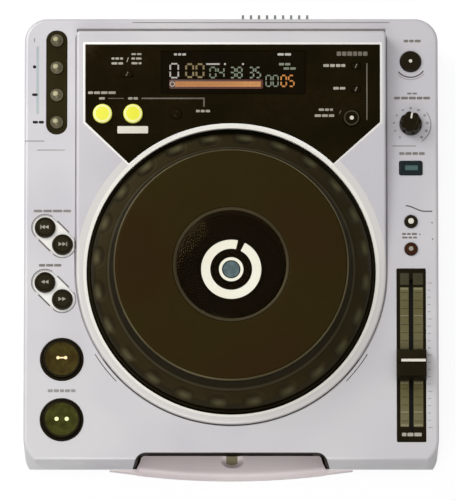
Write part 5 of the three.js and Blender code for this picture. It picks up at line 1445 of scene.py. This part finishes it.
# %% [markdown]
# The display shows what such a player shows: a track number, a clock reading and a bar for the place
# in the track. Digits are made of seven strokes each, as on the real fluorescent display.

# %% Display
SEGMENTS = {"0": "abcdef", "1": "bc", "2": "abged", "3": "abgcd", "4": "fgbc", "5": "afgcd", "6": "afgcde",
            "7": "abc", "8": "abcdefg", "9": "abcfgd"}
STROKES = {"a": ((0, 1), (1, 1)), "b": ((1, 1), (1, 0.5)), "c": ((1, 0.5), (1, 0)), "d": ((0, 0), (1, 0)),
           "e": ((0, 0), (0, 0.5)), "f": ((0, 0.5), (0, 1)), "g": ((0, 0.5), (1, 0.5))}


def digits(text, x, y, wide, tall, pitch, width):
    """Each stroke is a bar between two corners of the digit's cell, shortened by half its width."""
    found = []
    for k, letter in enumerate(text):
        left = x + k * pitch
        for stroke_name in SEGMENTS.get(letter, ""):
            (x0, y0), (x1, y1) = STROKES[stroke_name]
            p = np.array([(left + x0 * wide, y + y0 * tall), (left + x1 * wide, y + y1 * tall)])
            along = (p[1] - p[0]) / np.linalg.norm(p[1] - p[0])
            found.append(stroke([p[0] + along * width * 0.6, p[1] - along * width * 0.6], width))
        if letter == ":":
            found += [circle(left + wide / 2, y + tall * s, width * 0.6, 12) for s in (0.3, 0.7)]
    return found


def lit(name, tones, glow):
    return finish_of(name, tones, 0.4, grain=0.0012, glow=glow)


lit_pale = lit("lit_pale", [(170, 166, 158), (184, 180, 172), (156, 152, 144)], 0.35)
lit_tan = lit("lit_tan", [(128, 112, 76), (142, 126, 90), (112, 96, 62)], 0.3)
lit_green = lit("lit_green", [(112, 120, 100), (126, 134, 114), (98, 106, 86)], 0.3)
lit_amber = lit("lit_amber", [(166, 112, 62), (186, 132, 78), (150, 94, 48)], 0.35)
lit_orange = lit("lit_orange", [(190, 128, 60), (206, 150, 80), (170, 104, 44)], 0.35)
lit_halo = lit("lit_halo", [(70, 26, 12), (80, 32, 15), (58, 20, 9)], 0.2)
# A row of digits is its text, left edge, foot, width and height of a digit, pitch, and stroke width.
pale = digits("0", -44.9, 143.6, 5.9, 10.3, 8.0, 1.15)
pale += [bar(-18.4, -8.4, 153.1, 154.3), circle(-4.6, 153.7, 0.8, 12), circle(8.7, 153.7, 0.8, 12),
         stroke(arc_path(-43.4, 138.8, 1.6, 0, 350, 24), 0.6)]
pale += words([(-42.2, -33.3, 160.9, 1.7, 0.3, 0.65), (34.2, 44.1, 160.9, 1.7, 0.5)])
tan = digits("00", -33.2, 144.0, 5.2, 9.6, 7.6, 1.4)
green = words([(35.2, 43.6, 153.6, 1.8, 0.5), (38.6, 47.6, 150.4, 1.7, 0.5)])
for row in [("04", -15.6, 143.6, 4.2, 7.6, 6.0, 1.1), ("38", -0.9, 143.6, 3.6, 7.6, 5.2, 1.1),
            ("35", 13.1, 143.6, 3.4, 7.6, 5.0, 1.1), ("00", 25.7, 137.2, 3.6, 8.0, 5.2, 0.9)]:
    green += digits(*row)
amber = [bar(-41.4, 21.8, 136.8, 138.4, 0.3), bar(-41.4, 21.8, 139.0, 140.8, 0.3),
         bar(-41.4, 21.8, 138.2, 139.2, 0.1)]
orange = digits("05", 36.8, 137.2, 3.8, 8.0, 5.6, 1.1)
halo = [bar(-45.6, 23.4, 135.4, 142.2, 1.2)]
print_piece("display_halo", halo, "case", lit_halo, -GLASS_DOWN, True, 0.04)
for name, shapes, finish in [("pale", pale, lit_pale), ("tan", tan, lit_tan), ("green", green, lit_green),
                             ("amber", amber, lit_amber), ("orange", orange, lit_orange)]:
    print_piece("display_" + name, shapes, "case", finish, -GLASS_DOWN, True, 0.12)
print("strokes on the display:", sum(map(len, (pale, tan, green, amber, orange))))

# %% [markdown]
# The small buttons carry plain triangles and bars, the big ones two lit dots each, and the rest a spot
# or a tick. A glyph rides its button's body, so it moves when the button is pressed.


# %% Glyphs on the small and big buttons
def triangle(x, y, size, way):
    """A solid triangle that points right where way is 1, and left where it is -1."""
    back, half = x - way * size / 2, size * 0.55
    return np.array([(back, y + half), (back, y - half), (x + way * size / 2, y)])


def spot_on(node, radius, finish, height):
    print_piece(node.replace("button", "spot"), [circle(*middle(node), radius, 32)], node, finish, height)


for node, way in zip(PAIRED, (-1, 1, -1, 1)):
    x, y = middle(node)
    marks = [triangle(x - 1.5, y, 2.7, way), triangle(x + 1.3, y, 2.7, way)]
    if node.startswith("track"):
        marks.append(bar(x + way * 3.1 - 0.3, x + way * 3.1 + 0.3, y - 1.5, y + 1.5, 0.1))
    print_piece(node.replace("button", "glyph"), marks, node, print_soft, DECK + 2.32)
lit_warm = lit("lit_warm", [(255, 232, 190), (255, 240, 208), (246, 216, 168)], 0.5)
lit_leaf = lit("lit_leaf", [(238, 250, 188), (244, 254, 206), (228, 240, 168)], 0.5)
for name, radius, apart, up, finish in [("cue", 1.2, 2.8, 0.9, lit_warm), ("play", 1.5, 3.7, 0.3, lit_leaf)]:
    x, y = middle(name + "_button")
    marks = [circle(x + side * apart, y + up, radius, 24) for side in (-1, 1)]
    if name == "cue":
        marks.append(bar(x - apart, x + apart, y + up - 0.5, y + up + 0.5, 0.2))
    print_piece(name + "_dots", marks, name + "_button", finish, DECK + 1.92, thick=0.3)
spot_on("tempo_range_button", 2.1, print_white, DECK + 2.15)
spot_on("master_tempo_button", 1.7, print_soft, DECK + 2.15)
print_piece("eject_glyph", [circle(*eject_at, 1.3, 32)], "eject_button", print_white, DECK + 2.55)
print_teal = ink("print_teal", [(84, 110, 110), (94, 120, 120), (74, 98, 98)])
mode_window = [bar(128.2, 137.6, 53.4, 57.0, 0.5)]
print_piece("jog_mode_window", mode_window, "jog_mode_button", print_teal, DECK + MODE_PROUD)
print("glyphs on the deck's buttons made")

# %% Glyphs on the panel's buttons
px, py = panel_place("return_button")
print_piece("return_spot", [circle(px + 0.2, py, 1.5, 24)], "return_button", print_white, 1.5, True)
print_piece("return_halo", [arc_band(px, py, 4.6, 5.6, 0, 359)], "return_button", print_faint, 1.32, True)
for name, height in [("time_mode", 1.02), ("memory", 1.02), ("call", 1.02), ("reloop", 1.4)]:
    px, py = panel_place(name + "_button")
    tick = stroke([(px + 0.7, py + 1.6), (px - 0.7, py - 1.6)], 0.8)
    print_piece(name + "_tick", [tick], name + "_button", print_dim, height, True)
print("glyphs on the panel's buttons made")

# %% [markdown]
# The knob has a white pointer and the fader cap a white line. On each side of the fader's track an
# olive stripe runs the length of the bed, crossed by pale and faint lines, with a plain zone and a
# word's bars beyond its ends.

# %% Marks on the knob and the fader
x, y = knob_at
pointer = [stroke([(x + 0.25, y + 2.2), (x + 0.9, y + 6.4)], 1.3)]
print_piece("jog_adjust_pointer", pointer, "jog_adjust_knob", print_white,
            high_of("jog_adjust_knob") - 0.35, thick=0.5)
cap_line = [bar(FADER_X - 7.6, FADER_X + 10.4, CAP_Y + 1.15, CAP_Y + 3.15, 0.2)]
print_piece("fader_line", cap_line, "fader_cap", print_white, high_of("fader_cap") - 1.5)
LEFT, RIGHT = (FADER_X - 8.2, FADER_X - 1.9), (FADER_X + 1.5, FADER_X + 8.6)
STRIPE_ENDS, ZONE_ENDS, ABOVE_STRIPE = (-138.3, -34.0), (-32.2, -23.4), 0.08


def across_stripes(places, half, inset):
    return [bar(x0 + inset, x1 - inset, y - half, y + half, 0.1) for x0, x1 in (LEFT, RIGHT) for y in places]


print_stripe = ink("stripe_olive", [(116, 111, 78), (128, 122, 90), (104, 97, 62)])
print_cross = ink("cross_pale", [(152, 147, 116), (162, 157, 126), (140, 134, 104)])
stripes = [bar(*side, *STRIPE_ENDS, 0.4) for side in (LEFT, RIGHT)]
crossings = across_stripes((-35.2, -55.5, -105.6, -127.4, -137.0), 0.5, 0.3)
ticks = across_stripes(np.arange(-134.0, -36.0, 6.0), 0.2, 0.6)
zone = [bar(LEFT[0], LEFT[1] + 0.2, *ZONE_ENDS, 0.4), bar(RIGHT[0] - 0.2, RIGHT[1], *ZONE_ENDS, 0.4)]
label = words([(125.3, 139.8, -144.0, 2.6, 0.25, 0.6)])
for name, marks, finish, height in [
        ("stripes", stripes, print_stripe, BED), ("crossings", crossings, print_cross, BED + ABOVE_STRIPE),
        ("ticks", ticks, print_faint, BED + ABOVE_STRIPE), ("zone", zone, print_faint, BED),
        ("label", label, print_soft, BED)]:
    print_piece("fader_" + name, marks, "case", finish, height)
print("marks on the fader's bed:", sum(map(len, (stripes, crossings, ticks, zone, label))))

# %% [markdown]
# ## The rest of the frame
# What is not replaced keeps its solid and gets a finish of its own: steel, aluminium, rubber, black
# plastic, and the green of the boards. The switches on the switch board are part of its solid, so
# their dark colour is given by height; the same dark is painted shade where they show through the
# fader's track.

# %% Finishes of the other solids
steel = finish_of("steel_sheet", [(150, 152, 154), (160, 162, 164), (140, 142, 145)], 0.38,
                  grain=0.0008, drift=0.06, metal=0.85, bump=0.1)
bright = finish_of("steel_bright", [(184, 186, 188), (194, 196, 198), (172, 174, 177)], 0.25,
                   grain=0.0008, metal=0.9)
aluminium = finish_of("sink_aluminium", [(132, 134, 130), (144, 146, 142), (118, 120, 116)], 0.4,
                      grain=0.0007, metal=0.8, bump=0.15)
green_board = finish_of("board_green", [(30, 62, 40), (36, 72, 46), (26, 54, 36)], 0.45,
                        grain=0.0012, gloss=0.5)
inlay_olive = finish_of("cue_inlay", [(40, 36, 18), (48, 44, 25), (33, 29, 13)], 0.4, gloss=0.08,
                        sheen_tone=WARM)
board_parts_and_shade = green_board.copy()
board_parts_and_shade.name = "board_green_parts"
WHOLE_BOARD, SWITCH_TALL = 400.0, 5.6
# Dark above the board's face: the switch bodies' own colour, and painted shade where they show through the
# fader's track.
with_zone(board_parts_and_shade, (24, 22, 16), WHOLE_BOARD, low_of("tempo_range_button") - SWITCH_TALL)
OWN_FINISH = {
    "jog_well": trim_black, "cue_inlay": inlay_olive, "slot_seal": rubber_black, "base_pan": steel,
    "rear_panel": trim_black, "heat_sink": aluminium, "audio_jacks": trim_black, "power_inlet": trim_black,
    "power_switch": button_black, "main_board": green_board, "power_board": green_board,
    "switch_board": board_parts_and_shade, "loading_roller": rubber_black, "jog_post": steel, "jog_bearing": bright,
    "mech_chassis": steel, "turntable": bright, "pickup_sled": trim_black, "clamp_arm": steel,
    "disc_clamp": trim_black, "encoder_disc": bright,
}
for name, node in frame["nodes"].items():
    known = OWN_FINISH.get(name, rubber_black if name.startswith("foot") else steel)
    node.data.materials.clear()
    node.data.materials.append(known)
    node.data.set_sharp_from_angle(angle=math.radians(30))
print("finishes given:", len(frame["nodes"]))

# %% [markdown]
# ## Floor, light and camera
# The floor is a wide pale disc. It shows the camera mostly an even white, and a part of its real
# shading, so the object keeps a soft shadow.

# %% Floor
FLOOR_RADIUS, FLOOR_THICK = 3000, 2.0
PAPER, PAPER_ROUGH, PAPER_GLOW, PAPER_SHARE = (0.9, 0.9, 0.9, 1), 0.9, 1.12, 0.8
floor_shape = turned([(0, -FLOOR_THICK), (FLOOR_RADIUS, -FLOOR_THICK), (FLOOR_RADIUS, 0.0), (0, 0.0)], 96)
floor = bpy.data.objects.new("floor", mesh_of("floor", floor_shape))
bpy.context.scene.collection.objects.link(floor)
paper = bpy.data.materials.new("paper")
paper.use_nodes = True
tree = paper.node_tree
shader = tree.nodes["Principled BSDF"]
shader.inputs["Base Color"].default_value = PAPER
shader.inputs["Roughness"].default_value = PAPER_ROUGH
shader.inputs["Specular IOR Level"].default_value = 0.0
light = tree.nodes.new("ShaderNodeEmission")
light.inputs["Strength"].default_value = PAPER_GLOW
seen = tree.nodes.new("ShaderNodeLightPath")
blend = tree.nodes.new("ShaderNodeMixShader")
wire(tree, reckon(tree, "MULTIPLY", seen.outputs["Is Camera Ray"], PAPER_SHARE), blend.inputs["Fac"])
wire(tree, shader.outputs["BSDF"], blend.inputs[1])
wire(tree, light.outputs["Emission"], blend.inputs[2])
wire(tree, blend.outputs["Shader"], tree.nodes["Material Output"].inputs["Surface"])
floor.data.materials.append(paper)
print("floor", 2 * FLOOR_RADIUS * MM, "m wide")

# %% [markdown]
# The sky lights the object by an even grey, but the camera, reflections and what shines through see
# it white, as the background of the photograph is. Two square soft boxes stand at the upper left and
# in front, and look at the middle of the player.

# %% Sky and lamps
SKY_LEVEL, SEEN_LEVEL, MIDDLE = 0.35, 1.0, np.array([0, 0, 0.07])
world = bpy.data.worlds.new("sky")
bpy.context.scene.world = world
world.use_nodes = True
sky = world.node_tree
sky.nodes["Background"].inputs["Color"].default_value = (1, 1, 1, 1)
rays = sky.nodes.new("ShaderNodeLightPath").outputs
seen = rays["Is Camera Ray"]
for ray in ("Is Glossy Ray", "Is Transmission Ray"):
    seen = reckon(sky, "MAXIMUM", seen, rays[ray])
wire(sky, ranged(sky, seen, low=SKY_LEVEL, high=SEEN_LEVEL), sky.nodes["Background"].inputs["Strength"])


def lamp(name, place, size, power):
    """A square soft box that looks at the middle of the player: tilt = atan2(across, down)."""
    made = bpy.data.objects.new(name, bpy.data.lights.new(name, "AREA"))
    made.data.size = size
    made.data.energy = power
    made.location = place
    way = MIDDLE - np.array(place)
    made.rotation_euler = (math.atan2(math.hypot(way[0], way[1]), -way[2]), 0, math.atan2(-way[0], way[1]))
    bpy.context.scene.collection.objects.link(made)


lamp("upper_left_box", (-0.85, 0.7, 1.15), 0.9, 11.8)
lamp("front_box", (-0.25, -0.95, 1.45), 0.9, 6.8)
print("lamps:", len(bpy.data.lights))

# %% [markdown]
# The camera is far away, so that the view is almost parallel, and leans eleven degrees to the front.
# Its lens is worked out from the width of the player in the photograph.

# %% Camera
AIM = np.array([-0.002355, -0.00624, 0.076])
TILT, FAR = math.radians(11), 8.0
PLAYER_PIXELS, PLAYER_WIDE, PHOTO_TALL, SENSOR = 414.4, 305, 500, 36
camera = bpy.data.objects.new("camera", bpy.data.cameras.new("camera"))
camera.data.lens = PLAYER_PIXELS / PLAYER_WIDE * (FAR / MM) / PHOTO_TALL * SENSOR
camera.data.clip_end = 40
camera.location = AIM + FAR * np.array([0, -math.sin(TILT), math.cos(TILT)])
camera.rotation_euler = (TILT, 0, 0)
bpy.context.scene.collection.objects.link(camera)
bpy.context.scene.camera = camera
bpy.context.scene.view_settings.view_transform = "Standard"
print("lens:", round(camera.data.lens), "mm")
